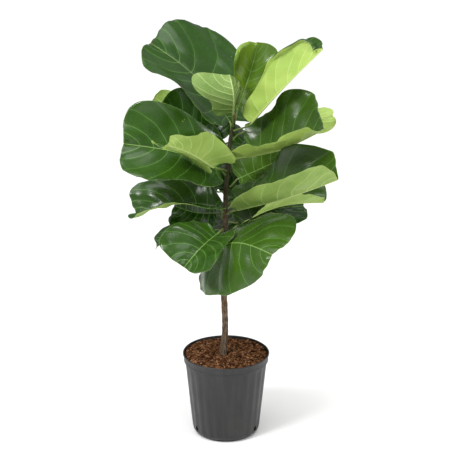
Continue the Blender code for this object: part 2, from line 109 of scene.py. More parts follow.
def tube_faces(rows, around):
    """A tube's quads with both ends closed."""
    last = (rows - 1) * around
    ends = [tuple(range(around - 1, -1, -1)), tuple(last + j for j in range(around))]
    return ring_quads(rows, around).tolist() + ends


def circle(sides):
    """Points of a level circle of radius one, as x, y and a zero height."""
    angle = np.linspace(0, 2 * np.pi, sides, endpoint=False)
    return np.stack([np.cos(angle), np.sin(angle), np.zeros(sides)], -1)


def placed(name, data):
    """An object for a mesh, lamp or camera, put into the scene."""
    obj = bpy.data.objects.new(name, data)
    bpy.context.scene.collection.objects.link(obj)
    return obj


def make_object(name, points, faces, materials, which=None, uv=None, values=None):
    """A smooth-shaded mesh at the origin. which: each face's material. uv: each point's place in the
    pattern. values: named numbers on the points."""
    mesh = bpy.data.meshes.new(name)
    mesh.from_pydata(np.asarray(points).reshape(-1, 3).tolist(), [], faces)
    for mat in materials:
        mesh.materials.append(mat)
    mesh.polygons.foreach_set("use_smooth", np.ones(len(mesh.polygons), bool))
    if which is not None:
        mesh.polygons.foreach_set("material_index", np.asarray(which, np.int32))
    if uv is not None:
        corner = np.empty(len(mesh.loops), np.int32)
        mesh.loops.foreach_get("vertex_index", corner)
        mesh.uv_layers.new(name="pattern").data.foreach_set("uv", uv[corner].astype(np.float32).ravel())
    for key, numbers in (values or {}).items():
        layer = mesh.attributes.new(key, "FLOAT", "POINT")
        layer.data.foreach_set("value", np.asarray(numbers, np.float32).ravel())
    mesh.update()
    return placed(name, mesh)


# %% [markdown]
# ## Wiring materials
# Nodes are easier to read when one line makes one node. `node` fills a node's inputs, linking sockets
# and setting plain values. `sums`, `spread` and `mixed` are the three kinds used most: arithmetic, a
# smooth change of range, and a mix of two colours. `tinted` adds one layer of colour under a mask.


# %% Node helpers
def node(tree, kind, inputs=(), **settings):
    """Adds a shader node. An input that is a socket is linked, and a plain value is set."""
    made = tree.nodes.new("ShaderNode" + kind)
    for key, value in settings.items():
        setattr(made, key, value)
    for key, value in dict(inputs).items():
        if isinstance(value, bpy.types.NodeSocket):
            tree.links.new(value, made.inputs[key])
        else:
            made.inputs[key].default_value = value
    return made


def sums(tree, operation, *terms):
    """One arithmetic step on up to three values."""
    return node(tree, "Math", dict(enumerate(terms)), operation=operation).outputs[0]


def spread(tree, value, low, high, to_low=0.0, to_high=1.0):
    """The value eased from the range low..high to to_low..to_high, and held beyond both ends."""
    ends = {"Value": value, "From Min": low, "From Max": high, "To Min": to_low, "To Max": to_high}
    return node(tree, "MapRange", ends, interpolation_type="SMOOTHSTEP").outputs["Result"]


def mixed(tree, share, first, second, blend="MIX"):
    """Two colours mixed."""
    return node(tree, "Mix", {0: share, 6: first, 7: second}, data_type="RGBA", blend_type=blend).outputs[2]


def rgb(red, green, blue):
    """A colour from red, green and blue shares of light."""
    return (red, green, blue, 1.0)


def stored(tree, name):
    """A number kept on the mesh's points, as read by a material."""
    return node(tree, "Attribute", attribute_name=name).outputs["Fac"]


def upright(tree, place, squeeze):
    """The place with its height squeezed, which draws a pattern out upwards."""
    return node(tree, "Mapping", {"Vector": place, "Scale": (1, 1, squeeze)}).outputs[0]


def noise(tree, place, scale, detail=3.0, roughness=0.5):
    """A soft random pattern's value, about 0.3 to 0.7."""
    fill = {"Vector": place, "Scale": scale, "Detail": detail, "Roughness": roughness}
    return node(tree, "TexNoise", fill).outputs[0]


def new_group(name, inputs, outputs):
    """An empty node group with the named sockets, and its inner input and output nodes."""
    tree = bpy.data.node_groups.new(name, "ShaderNodeTree")
    for title, kind in inputs.items():
        tree.interface.new_socket(title, in_out="INPUT", socket_type="NodeSocket" + kind)
    for title, kind in outputs.items():
        tree.interface.new_socket(title, in_out="OUTPUT", socket_type="NodeSocket" + kind)
    return tree, tree.nodes.new("NodeGroupInput").outputs, tree.nodes.new("NodeGroupOutput").inputs


def new_material(name, **plain):
    """A Principled material: its tree, the shader with plain values set, and the place on the object."""
    mat = bpy.data.materials.new(name)
    mat.use_nodes = True
    shader = mat.node_tree.nodes["Principled BSDF"]
    for key, value in plain.items():
        shader.inputs[key.replace("_", " ")].default_value = value
    return mat, mat.node_tree, shader, node(mat.node_tree, "TexCoord").outputs["Object"]


def tinted(tree, colour, mask, share, shade):
    """The colour moved towards a shade where the mask is high, by up to the share."""
    return mixed(tree, sums(tree, "MULTIPLY", mask, share), colour, rgb(*shade))


def finish(tree, shader, colour, height, strength, distance):
    """Links the colour, and a normal tilted by a height pattern."""
    fill = {"Height": height, "Strength": strength, "Distance": distance}
    tree.links.new(colour, shader.inputs["Base Color"])
    tree.links.new(node(tree, "Bump", fill).outputs["Normal"], shader.inputs["Normal"])


# %% [markdown]
# ## The leaf's veins
# A fiddle leaf has a thick pale midrib, seven pairs of side veins that leave it and sweep towards
# the tip, and a fine net between them. The leaf mesh below is laid out so that the side veins run along
# its rows. It stores a running number called `phase`, whole on each vein, and the real distance between
# two whole numbers, so the pattern can draw a vein of a true width in metres at any point. The same
# group serves the glossy upper side and the matt underside.

# %% The vein pattern
veins, vein_in, vein_out = new_group(
    "leaf_veins",
    {"Phase": "Float", "Spacing": "Float", "From Midrib": "Float", "From Edge": "Float",
     "Place": "Vector", "Width": "Float"},
    {"Side": "Float", "Midrib": "Float", "Net": "Float", "Edge": "Float", "Cushion": "Float"})
sway = sums(veins, "MULTIPLY_ADD", noise(veins, vein_in["Place"], 45.0, 2.0), 0.10, vein_in["Phase"])
sway = sums(veins, "SUBTRACT", sway, 0.05)
between = sums(veins, "PINGPONG", sway, 0.5)
off_vein = sums(veins, "MULTIPLY", between, vein_in["Spacing"])
half = sums(veins, "MULTIPLY", vein_in["Width"], spread(veins, vein_in["From Midrib"], 0.0, 0.15, 1.0, 0.45))
near = sums(veins, "DIVIDE", off_vein, half)
veins.links.new(spread(veins, near, 0.5, 1.3, 1.0, 0.0), vein_out["Side"])
rib_near = sums(veins, "DIVIDE", vein_in["From Midrib"], sums(veins, "MULTIPLY", vein_in["Width"], 1.7))
veins.links.new(spread(veins, rib_near, 0.6, 1.2, 1.0, 0.0), vein_out["Midrib"])
net = node(veins, "TexVoronoi", {"Vector": vein_in["Place"], "Scale": 170.0}, feature="DISTANCE_TO_EDGE")
veins.links.new(spread(veins, net.outputs["Distance"], 0.0, 0.12, 1.0, 0.0), vein_out["Net"])
veins.links.new(spread(veins, vein_in["From Edge"], 0.0004, 0.0016, 1.0, 0.0), vein_out["Edge"])
veins.links.new(spread(veins, off_vein, 0.0, 0.010), vein_out["Cushion"])


def vein_masks(tree, place, width):
    """The vein pattern placed in a leaf material, reading the values stored on the mesh."""
    uv = node(tree, "SeparateXYZ", {0: node(tree, "UVMap", uv_map="pattern").outputs[0]})
    fill = {"Phase": uv.outputs["X"], "Place": place, "Width": width}
    for key in ("spacing", "from_midrib", "from_edge"):
        fill[key.replace("_", " ").title()] = stored(tree, key)
    return node(tree, "Group", fill, node_tree=veins).outputs, uv.outputs["X"]


print("vein group has", len(veins.nodes), "nodes")

# %% [markdown]
# ## The upper side
# The upper side is deep green and waxy. Light slides over it in broad soft patches, because the wax is smooth
# but the blade is quilted between its veins. Each leaf stores its own freshness, a tone from old to new: new
# leaves are yellower and lighter. The same stored tone also carries painted light: a lighter upper side on a
# leaf that the leaves above shade, and on the half of a leaf that catches the light. The veins and the thin
# rim are pale, and the very tip is dry and brown.

# %% Upper side finish
upper, tree, shader, place = new_material("leaf_upper_side", Roughness=0.3, Specular_IOR_Level=0.42)
masks, phase = vein_masks(tree, place, 0.00085)
# painted light: the stored tone is the leaf's age and also a lighter tone on leaves and leaf halves that are
# painted as lit
fresh = stored(tree, "freshness_with_painted_light")
colour = mixed(tree, fresh, rgb(0.010, 0.044, 0.0028), rgb(0.20, 0.34, 0.025))
mottle = spread(tree, noise(tree, place, 14.0, 4.0), 0.35, 0.68)
colour = mixed(tree, mottle, colour, rgb(1.35, 1.25, 1.2), "MULTIPLY")
beside_veins = sums(tree, "SUBTRACT", 1.0, masks["Cushion"])
for mask, share, shade in (
        (masks["Net"], 0.14, (0.07, 0.19, 0.025)), (beside_veins, 0.16, (0.05, 0.15, 0.018)),
        (masks["Side"], 0.60, (0.17, 0.31, 0.075)), (masks["Midrib"], 0.75, (0.22, 0.36, 0.09)),
        (masks["Edge"], 0.60, (0.30, 0.42, 0.12))):
    colour = tinted(tree, colour, mask, share, shade)
at_tip = spread(tree, phase, 7.40, 7.48)
colour = tinted(tree, colour, at_tip, spread(tree, noise(tree, place, 60.0), 0.4, 0.6), (0.10, 0.045, 0.015))
rough = spread(tree, noise(tree, place, 30.0, 4.0), 0.3, 0.7, 0.16, 0.30)
rough = sums(tree, "ADD", rough, sums(tree, "MULTIPLY", masks["Side"], 0.12))
tree.links.new(rough, shader.inputs["Roughness"])
relief = sums(tree, "ADD", sums(tree, "MULTIPLY", masks["Net"], -0.5), noise(tree, place, 420.0, 2.0))
finish(tree, shader, colour, relief, 0.22, 0.0006)

# %% [markdown]
# ## The underside
# The underside has no wax. It is a pale yellow-green, duller, and its net of veins stands out more. On new
# leaves that face the light it is almost lime: partly their own colour, partly a painted glow of light
# shining through the blade. Away from the margin it is painted darker, as painted shade inside the curled
# blade.

# %% Underside finish
under, tree, shader, place = new_material("leaf_underside", Roughness=0.55, Specular_IOR_Level=0.35)
masks, _ = vein_masks(tree, place, 0.0013)
# painted glow: the brighter underside tones stand in for light shining through new leaves, besides their own
# lime colour
fresh = stored(tree, "under_freshness_with_painted_glow")
colour = mixed(tree, fresh, rgb(0.17, 0.27, 0.065), rgb(0.45, 0.60, 0.115))
edge_far = stored(tree, "from_edge")
# painted shade: the underside darker away from the margin, as inside the curled blade
inner = spread(tree, edge_far, 0.006, 0.045, 0.0, 0.55)
colour = mixed(tree, inner, colour, rgb(0.78, 0.82, 0.72), "MULTIPLY")
mottle = spread(tree, noise(tree, place, 16.0, 4.0), 0.35, 0.68)
colour = mixed(tree, mottle, colour, rgb(0.80, 0.88, 0.72), "MULTIPLY")
for title, share, shade in (("Net", 0.25, (0.34, 0.46, 0.15)), ("Side", 0.50, (0.50, 0.62, 0.23)),
                            ("Midrib", 0.65, (0.50, 0.60, 0.22)), ("Edge", 0.50, (0.45, 0.52, 0.16))):
    colour = tinted(tree, colour, masks[title], share, shade)
relief = sums(tree, "ADD", masks["Net"], noise(tree, place, 500.0, 2.0))
finish(tree, shader, colour, relief, 0.25, 0.0008)

# %% Stalk finish
stalk, tree, shader, place = new_material("leaf_stalk", Roughness=0.45)
specks = spread(tree, noise(tree, place, 300.0, 3.0), 0.52, 0.66)
colour = mixed(tree, specks, rgb(0.13, 0.21, 0.04), rgb(0.16, 0.10, 0.04))
finish(tree, shader, colour, noise(tree, place, 250.0), 0.3, 0.0008)

# %% [markdown]
# ## The leaves' own numbers
# A leaf is given by the path of its midrib, the way its upper side faces, how wide it is, and how each
# half folds up from the midrib and curls on towards its margin. The outline is a fiddle: broad near the
# tip, waisted below. Some old leaves are nearly round.

# %% The leaf table
GAP = 0.0003                # clear space between two pieces that grow from each other
PETIOLE_RADIUS = 0.0028
# half outline of a blade, base to tip: (share of the half width, share of the length).
FIDDLE = ((0.03, 0.0), (0.26, -0.035), (0.48, -0.015), (0.62, 0.06), (0.69, 0.16), (0.70, 0.27),
          (0.74, 0.38), (0.83, 0.50), (0.94, 0.62), (1.0, 0.74), (0.97, 0.86), (0.83, 0.96),
          (0.56, 1.01), (0.24, 1.01), (0.004, 0.99))
ROUND = ((0.03, 0.0), (0.32, -0.08), (0.62, -0.07), (0.84, 0.04), (0.96, 0.20), (1.0, 0.38),
         (0.99, 0.52), (0.95, 0.65), (0.87, 0.77), (0.76, 0.86), (0.62, 0.93), (0.46, 0.98),
         (0.30, 1.0), (0.14, 1.0), (0.004, 0.99))
# what a leaf has unless its own entry says otherwise
PLAIN_LEAF = dict(fold=(15, 15), curl=(10, 10), ripple=0.008, ripples=2.0, ripple_starts=(0.0, 0.3),
                  roundness=0.0, waist=1.0, lobe=0.0, sweep=(0, 0), left_width=1.0, bumps=(0, 2, 0, 0),
                  fresh=(0.0, 0.15), left_fresher=0.0)


def leaf(joint, midrib, face, half_width, **own):
    """One leaf's own numbers, over those of a plain leaf.

    joint: height on the trunk. midrib: blade base, middle and tip. face: where the upper side looks,
    at the base and at the tip. fold: degrees each half rises from flat, left then right as seen from
    the trunk. curl: degrees each half bends on towards its margin. ripple, ripples, ripple_starts: height,
    number, and start on the left and right, of the margin's ripples. roundness: 0 fiddle shaped, 1 round.
    waist: width of the lower half. lobe: how far the base lobes reach back. sweep: how far each margin runs
    ahead. left_width: the left half's width over the right one's. bumps: size, number and start of the
    outline's own swells along the left and right margins. fresh: the upper side and the underside, from 0,
    old and deep green, to 1, new and lime; the same numbers also carry painted light, a lighter upper side on
    a leaf in shade and a painted glow on a lit underside. left_fresher: what the left half adds to the upper
    side, painted light on a half that catches the light.
    """
    return {**PLAIN_LEAF, "joint": joint, "midrib": midrib, "face": face, "half_width": half_width, **own}


LEAVES = {
    # top tier
    "leaf_01": leaf(0.945, ((0.010, 0.050, 0.965), (-0.085, 0.125, 1.075), (-0.225, 0.170, 1.172)),
                    ((0.3, -0.6, 0.7), (0.3, -0.65, 0.7)), 0.210, fold=(25, -5), curl=(12, -8),
                    ripple=0.010, ripples=2.5, ripple_starts=(0.0, 0.4), roundness=0.5, left_width=0.75,
                    bumps=(0.11, 2.0, 0.0, 0.25), fresh=(0.02, 0.2)),
    "leaf_02": leaf(0.965, ((0.020, -0.030, 1.010), (0.020, -0.070, 1.085), (0.010, -0.050, 1.130)),
                    ((0, 0.8, 0.3), (0, 0.9, -0.2)), 0.112, fold=(75, -5), curl=(10, -10), ripple=0.006,
                    waist=0.80, sweep=(0, 0.22), fresh=(0.2, 0)),
    # leaf_03: its left half is painted lighter, painted light where that half catches the light
    "leaf_03": leaf(0.970, ((0.034, 0.040, 1.005), (0.070, 0.070, 1.105), (0.094, 0.075, 1.196)),
                    ((-0.5, -0.8, 0.2), (-0.2, -0.9, 0.3)), 0.075, fold=(50, 10), curl=(30, 10),
                    ripple=0.006, fresh=(0.3, 0.6), left_fresher=0.35),
    "leaf_04": leaf(0.950, ((0.074, -0.040, 0.985), (0.160, -0.100, 1.102), (0.270, -0.120, 1.220)),
                    ((-0.3, 0.7, 0.5), (-0.3, 0.7, 0.3)), 0.088, fold=(75, 62), curl=(15, 5), ripple=0.006,
                    fresh=(0.05, 0.8)),
    "leaf_05": leaf(0.900, ((-0.015, 0.110, 0.890), (-0.055, 0.145, 0.930), (-0.095, 0.170, 0.970)),
                    ((0.1, -0.8, 0.5), (0.1, -0.9, 0.5)), 0.095, fold=(20, 10), curl=(10, 10), ripple=0.006,
                    fresh=(0, 0.1)),
    # upper tier
    "leaf_06": leaf(0.870, ((-0.066, 0.190, 0.880), (-0.140, 0.210, 0.923), (-0.225, 0.210, 0.975)),
                    ((0.1, -0.8, 0.6), (0.1, 0.9, 0.2)), 0.060, fold=(30, 10), ripple=0.010,
                    fresh=(0.2, 0.35)),
    "leaf_07": leaf(0.860, ((0.066, -0.035, 0.883), (0.166, -0.100, 0.928), (0.275, -0.160, 1.000)),
                    ((-0.1, -0.6, 0.8), (-0.1, -0.5, 0.8)), 0.166, fold=(20, 55), curl=(15, 5),
                    ripple=0.010, ripples=2.5, roundness=0.25, fresh=(0.1, 0.65)),
    "leaf_08": leaf(0.920, ((0.070, 0.060, 0.935), (0.205, 0.120, 0.945), (0.320, 0.150, 0.955)),
                    ((-0.1, -0.3, 0.9), (-0.1, 0.5, -0.5)), 0.045, fold=(20, 20), curl=(15, 20),
                    ripple=0.006, fresh=(0.2, 0.5)),
    "leaf_09": leaf(0.850, ((-0.040, 0.065, 0.862), (-0.120, 0.070, 0.917), (-0.205, 0.070, 1.002)),
                    ((0.1, -0.8, 0.6), (0.1, -0.7, 0.6)), 0.110, fold=(70, 10), ripple=0.010,
                    fresh=(0.02, 0.2)),
    "leaf_10": leaf(0.820, ((-0.020, -0.030, 0.845), (-0.130, -0.060, 0.900), (-0.295, -0.080, 0.935)),
                    ((0, -0.6, 0.8), (0, -0.6, 0.8)), 0.135, fold=(5, 37), fresh=(0.04, 0.3)),
    "leaf_11": leaf(0.830, ((-0.040, -0.112, 0.877), (-0.098, -0.184, 0.937), (-0.163, -0.262, 0.985)),
                    ((-0.5, 0.65, 0.27), (-0.5, 0.65, 0.27)), 0.085, fold=(-20, 60), curl=(5, 10),
                    ripple=0.017, ripples=2.5, ripple_starts=(0.1, 0.3), roundness=0.9, lobe=0.08,
                    fresh=(0.1, 0.5)),
    # middle tier
    # leaf_12: its upper side is given a lighter tone, painted light on a leaf that leaf_07 shades
    "leaf_12": leaf(0.780, ((0.037, 0.003, 0.805), (0.125, 0.032, 0.837), (0.210, 0.050, 0.871)),
                    ((0, -0.6, 0.8), (0, -0.6, 0.8)), 0.100, fold=(15, 35), ripple=0.010,
                    fresh=(0.16, 0.3)),
    "leaf_13": leaf(0.700, ((0.035, -0.060, 0.730), (0.175, -0.150, 0.797), (0.315, -0.220, 0.873)),
                    ((-0.1, -0.4, 0.9), (-0.1, -0.3, 0.9)), 0.108, fold=(40, 60), curl=(15, 10),
                    ripple=0.014, ripples=2.5, left_width=1.22, bumps=(0.06, 2.0, 0.3, 0.1),
                    fresh=(0.08, 0.32)),
    "leaf_14": leaf(0.705, ((-0.020, -0.030, 0.725), (-0.120, -0.050, 0.747), (-0.265, -0.030, 0.705)),
                    ((0, -0.6, 0.8), (0, -0.6, 0.8)), 0.095, fold=(50, 15), curl=(10, 5), ripple=0.014,
                    ripples=2.5, fresh=(0.03, 0.4)),
    "leaf_15": leaf(0.680, ((-0.030, 0.028, 0.690), (-0.085, 0.036, 0.688), (-0.155, 0.042, 0.708)),
                    ((0, -0.7, 0.7), (0, -0.7, 0.7)), 0.095, fold=(15, 35), ripple=0.010, fresh=(0, 0.2)),
    # lower tier
    "leaf_16": leaf(0.635, ((0.042, 0.030, 0.658), (0.155, 0.030, 0.710), (0.290, 0.012, 0.728)),
                    ((-0.1, -0.5, 0.8), (-0.1, -0.2, 0.9)), 0.085, fold=(20, 50), curl=(15, 10),
                    ripple=0.010, fresh=(0.08, 0.45)),
    "leaf_17": leaf(0.665, ((0.035, 0.047, 0.656), (0.130, 0.085, 0.680), (0.235, 0.110, 0.685)),
                    ((-0.1, -0.5, 0.8), (-0.1, -0.5, 0.9)), 0.070, fold=(20, 10), curl=(15, -10),
                    ripple=0.006),
    "leaf_18": leaf(0.650, ((-0.025, -0.105, 0.672), (-0.070, -0.172, 0.655), (-0.120, -0.220, 0.610)),
                    ((-0.1, -0.7, 0.6), (-0.1, -0.8, 0.5)), 0.112, fold=(38, 12), fresh=(0.04, 0.2)),
    "leaf_19": leaf(0.605, ((-0.048, -0.108, 0.624), (0.039, -0.208, 0.681), (0.130, -0.295, 0.676)),
                    ((-0.66, -0.36, 0.575), (-0.66, -0.46, 0.5)), 0.164, fold=(-30, -8), curl=(-10, -12),
                    ripple=0.006, roundness=0.7, left_width=1.1, sweep=(0, -0.22), lobe=0.12,
                    fresh=(0.08, 0.3)),
    # behind the trunk
    "leaf_20": leaf(0.840, ((0.020, 0.045, 0.811), (0.027, 0.120, 0.830), (0.029, 0.195, 0.844)),
                    ((0, -0.3, 1), (0, -0.2, 1)), 0.080),
    "leaf_21": leaf(0.755, ((-0.030, 0.068, 0.748), (-0.066, 0.145, 0.776), (-0.104, 0.216, 0.800)),
                    ((0, -0.3, 1), (0, -0.2, 1)), 0.100),
    "leaf_22": leaf(0.725, ((0.028, 0.040, 0.722), (0.068, 0.117, 0.753), (0.110, 0.200, 0.780)),
                    ((0, -0.3, 1), (0, -0.2, 1)), 0.100),
    "leaf_23": leaf(0.645, ((-0.035, 0.010, 0.645), (-0.105, 0.045, 0.620), (-0.210, 0.060, 0.580)),
                    ((0, -0.2, 1), (0, -0.2, 1)), 0.060, ripple=0.005),
    "leaf_24": leaf(0.630, ((-0.005, 0.060, 0.610), (-0.010, 0.140, 0.635), (-0.020, 0.220, 0.655)),
                    ((0, -0.3, 1), (0, -0.2, 1)), 0.095),
    "leaf_25": leaf(0.890, ((0.034, 0.050, 0.872), (0.058, 0.110, 0.892), (0.078, 0.165, 0.905)),
                    ((0, -0.3, 0.95), (0, -0.2, 1)), 0.055),
}
print(len(LEAVES), "leaves")

# %% [markdown]
# ## The leaf surface
# A blade is one sheet bent in space. Its grid has rows that run along the side veins and columns that
# run beside the midrib. Rows and columns crowd together at the veins, where the sheet changes quickly.
# The sheet is then quilted: it swells a little between veins. The underside carries the veins as ridges,
# and the upper side has a groove over the midrib.


# %% The bent sheet
OUTLINE_WAVE = 0.022        # the small wave of every outline, as a share of the half width


def blade_points(spec, t, u):
    """Points of the blade's middle surface for grids t and u.

    t runs from base to tip and u from -1, the right margin, to 1, the left one. A row of equal t
    leaves the midrib and sweeps forward to the outline. Across a row each half starts at its fold
    angle and bends on by its curl, an arc of a circle, and the margin ripples. The outline swells and
    narrows a few times from base to tip, by the leaf's own bumps and by a small wave of its own.
    """
    mix = spec["roundness"]
    edge = curve_through(np.array(FIDDLE) * (1 - mix) + np.array(ROUND) * mix, t.ravel())
    edge = edge.reshape(*t.shape, 2)
    low = 1 - ease((edge[..., 1] - 0.3) / 0.35)
    edge_x = edge[..., 0] * (1 + (spec["waist"] - 1) * low)
    edge_y = edge[..., 1] - spec["lobe"] * np.exp(-((t - 0.17) / 0.11) ** 2)
    mid_y = t ** 1.12 * 0.985
    reach = np.abs(u)
    left = u >= 0
    size, number, from_left, from_right = spec["bumps"]
    swell = 1 + size * np.sin(2 * np.pi * (number * t + np.where(left, from_left, from_right)))
    own_start = 40 * spec["joint"]
    swell = swell + OUTLINE_WAVE * np.sin(2 * np.pi * (3.4 * t + np.where(left, 0.1, 0.6)) + own_start)
    x = edge_x * reach * np.where(left, spec["left_width"], 1) * swell
    y = mid_y + (edge_y - mid_y) * reach ** 1.6
    y = y + np.where(left, *spec["sweep"]) * x ** 1.5 * ease(t / 0.6)

    rib = curve_through(spec["midrib"], np.linspace(0, 1, 401))
    arc = np.concatenate([[0], np.cumsum(np.linalg.norm(np.diff(rib, axis=0), axis=1))])
    forward = unit(np.gradient(rib, axis=0))
    inside = np.clip(y, 0, 1)
    centre = np.stack([np.interp(inside * arc[-1], arc, rib[:, k]) for k in range(3)], -1)
    tangent = unit(np.stack([np.interp(inside * arc[-1], arc, forward[:, k]) for k in range(3)], -1))
    centre = centre + tangent * ((y - inside) * arc[-1])[..., None]
    base_face, tip_face = (unit(np.array(f, float)) for f in spec["face"])
    up = base_face * (1 - inside[..., None]) + tip_face * inside[..., None]
    up = unit(up - (up * tangent).sum(-1, keepdims=True) * tangent)
    side = np.cross(up, tangent)

    fold = np.radians(np.where(left, *spec["fold"]))
    curl = np.radians(np.where(left, *spec["curl"]) + 0.05)
    out = (np.sin(fold + curl * x) - np.sin(fold)) / curl
    rise = (np.cos(fold) - np.cos(fold + curl * x)) / curl
    ripple = np.sin(2 * np.pi * (spec["ripples"] * t + np.where(left, *spec["ripple_starts"])))
    fade = ease(t / 0.15) * ease((1 - t) / 0.1)
    rise = rise * spec["half_width"] + spec["ripple"] * reach ** 2.2 * ripple * fade
    out = out * spec["half_width"] * np.where(left, 1, -1)
    return centre + side * out[..., None] + up * rise[..., None]


# %% [markdown]
# The rows lean forward towards the margin, as side veins do: a row that leaves the midrib at `q` reaches
# the outline a little further on. The lean fades at both ends so that the rows still fill the outline.

# %% Rows and columns
SIDE_VEINS = (0.06, 0.18, 0.32, 0.46, 0.60, 0.73, 0.86)
BETWEEN = (0.0, 0.035, 0.09, 0.19, 0.34, 0.5, 0.66, 0.81, 0.91, 0.965)
HALF_COLUMNS = (0, 0.012, 0.028, 0.05, 0.08, 0.12, 0.17, 0.23, 0.30, 0.37, 0.44, 0.51, 0.58, 0.65,
                0.72, 0.79, 0.85, 0.90, 0.94, 0.97, 0.988, 1)
LEAN = 0.13
stations = np.array((0.0, *SIDE_VEINS, 1.0))
rows = np.concatenate([a + (b - a) * np.array(BETWEEN) for a, b in zip(stations, stations[1:])] + [[1.0]])
row_phase = np.interp(rows, stations, (0.45, *range(1, len(SIDE_VEINS) + 1), len(SIDE_VEINS) + 0.5))
columns = np.concatenate([-np.array(HALF_COLUMNS[:0:-1]), HALF_COLUMNS])
grid_q, grid_u = np.meshgrid(rows, columns, indexing="ij")
grid_t = grid_q + LEAN * np.abs(grid_u) ** 1.25 * ease(grid_q / 0.12) * ease((1 - grid_q) / 0.3)
phase_grid = np.repeat(row_phase[:, None], len(columns), axis=1)
print("each blade has", len(rows), "rows of", len(columns), "points on each side")


# %% Distances on the sheet
def sheet_facts(points):
    """The sheet's normals, metres from one side vein to the next, and metres to midrib and margin.

    Spacing is the sheet's area per step of phase and column, divided by the length of the column step:
    the height of a parallelogram over its base.
    """
    along = np.gradient(points, row_phase, axis=0)
    across = np.gradient(points, columns, axis=1)
    normal = np.cross(along, across)
    spacing = np.linalg.norm(normal, axis=-1) / np.maximum(np.linalg.norm(across, axis=-1), 1e-6)
    step = np.linalg.norm(np.diff(points, axis=1), axis=-1)
    run = np.concatenate([np.zeros((len(rows), 1)), np.cumsum(step, axis=1)], axis=1)
    middle = len(columns) // 2
    from_midrib = np.abs(run - run[:, middle:middle + 1])
    half_run = np.where(columns[None] < 0, from_midrib[:, :1], from_midrib[:, -1:])
    return unit(normal), spacing, from_midrib, half_run - from_midrib


# %% [markdown]
# ## The petiole
# The petiole is a round stalk. It leaves the trunk outwards and upwards and bends to meet the midrib, a
# cubic curve with its ends set by those two directions. It shares the blade's columns, so stalk and
# blade are one closed skin.

# %% Trunk line and petiole line
TRUNK_LINE = ((-0.008, 0.000, 0.170), (-0.009, 0.000, 0.256), (-0.003, 0.002, 0.315), (-0.006, 0.000, 0.454),
              (-0.003, 0.002, 0.638), (-0.001, 0.000, 0.740), (0.004, 0.002, 0.832), (0.012, 0.004, 0.923),
              (0.022, 0.004, 0.975))
TRUNK_RADIUS = (0.0140, 0.0118, 0.0096, 0.0092, 0.0082, 0.0074, 0.0064, 0.0055, 0.0040)


def trunk_at(height):
    """The trunk's centre and radius at a height."""
    line = np.array(TRUNK_LINE)
    centre = np.array([np.interp(height, line[:, 2], line[:, k]) for k in range(2)] + [height])
    return centre, float(np.interp(height, line[:, 2], TRUNK_RADIUS))


def petiole_line(spec, count):
    """Centres and directions from the trunk's skin to the blade: a cubic with an outward, rising start."""
    blade_base = np.array(spec["midrib"][0])
    axis, radius = trunk_at(spec["joint"])
    outward = blade_base - axis
    outward[2] = 0
    outward = unit(outward)
    start = axis + outward * (radius + GAP + 0.9 * PETIOLE_RADIUS)
    span = np.linalg.norm(blade_base - start)
    rib = curve_through(spec["midrib"], np.linspace(0, 1, 40))
    leave = unit(outward + (0, 0, 0.6)) * span * 0.35
    arrive = unit(rib[1] - rib[0]) * span * 0.35
    s = np.linspace(0, 1, count + 1)[:-1, None]
    a, b, c, d = start, start + leave, blade_base - arrive, blade_base
    line = (1 - s)**3 * a + 3 * (1 - s)**2 * s * b + 3 * (1 - s) * s**2 * c + s**3 * d
    tangent = (1 - s)**2 * (b - a) + 2 * (1 - s) * s * (c - b) + s**2 * (d - c)
    return line, unit(tangent), s[:, 0]


# %% [markdown]
# ## Rolled margins
# A leaf's margin is never flat: it bends back a little all round, and on some new leaves it rolls right
# over, so that a rim of the dark upper side shows against the pale underside. The roll carries the last
# few millimetres of the sheet round a small circle towards the underside.

# %% The roll
# margins that roll far: how much of the left and right margin bends, in metres, and the circle's radius
ROLLS = {"leaf_04": ((0.0, 0.028), 0.0090), "leaf_03": ((0.012, 0.0), 0.006)}
PLAIN_ROLL = ((0.006, 0.006), 0.012)


def rolled(sheet, name, seed):
    """Bends each margin round a circle. A point that lies s past the start of the roll moves to
    radius * sin(s / radius) outwards and radius * (1 - cos(s / radius)) towards the underside."""
    normal, _, _, from_edge = sheet_facts(sheet)
    outward = unit(np.gradient(sheet, columns, axis=1)) * np.sign(grid_u)[..., None]
    (left, right), radius = ROLLS.get(name, PLAIN_ROLL)
    depth = np.where(grid_u >= 0, left, right) * ease((grid_q - 0.15) / 0.35) * ease((1 - grid_q) / 0.04)
    depth = depth * (1 + 0.10 * uneven(sheet, 0.14, seed + 90))
    past = np.clip(depth - from_edge, 0, None)
    out = radius * np.sin(past / radius) - past
    back = radius * (1 - np.cos(past / radius))
    return sheet + outward * out[..., None] - normal * back[..., None]


# %% One whole leaf
STALK_ROWS = 14
BLADE_HALF = 0.00045        # half of the blade's thickness
QUILT = 0.0016              # height of the swells between side veins
VEIN_DIP, MIDRIB_DIP = 0.011, 0.012     # how far the quilting's dips reach from a vein and the midrib
SLOW, SLOW_SIZE = 0.0036, 0.090     # height and length of the blade's slow unevenness
FRILL, FRILL_SIZE = 0.0022, 0.035   # height and length of the margin's frill
SIDE_RIB, SIDE_RIB_HALF = 0.0010, 0.0012    # height and half width of a side vein's ridge underneath
GROOVE, GROOVE_HALF = 0.0007, 0.0022        # depth and half width of the groove over the midrib
EDGE_ROUND = 0.0012         # the blade thins to nothing over this last stretch


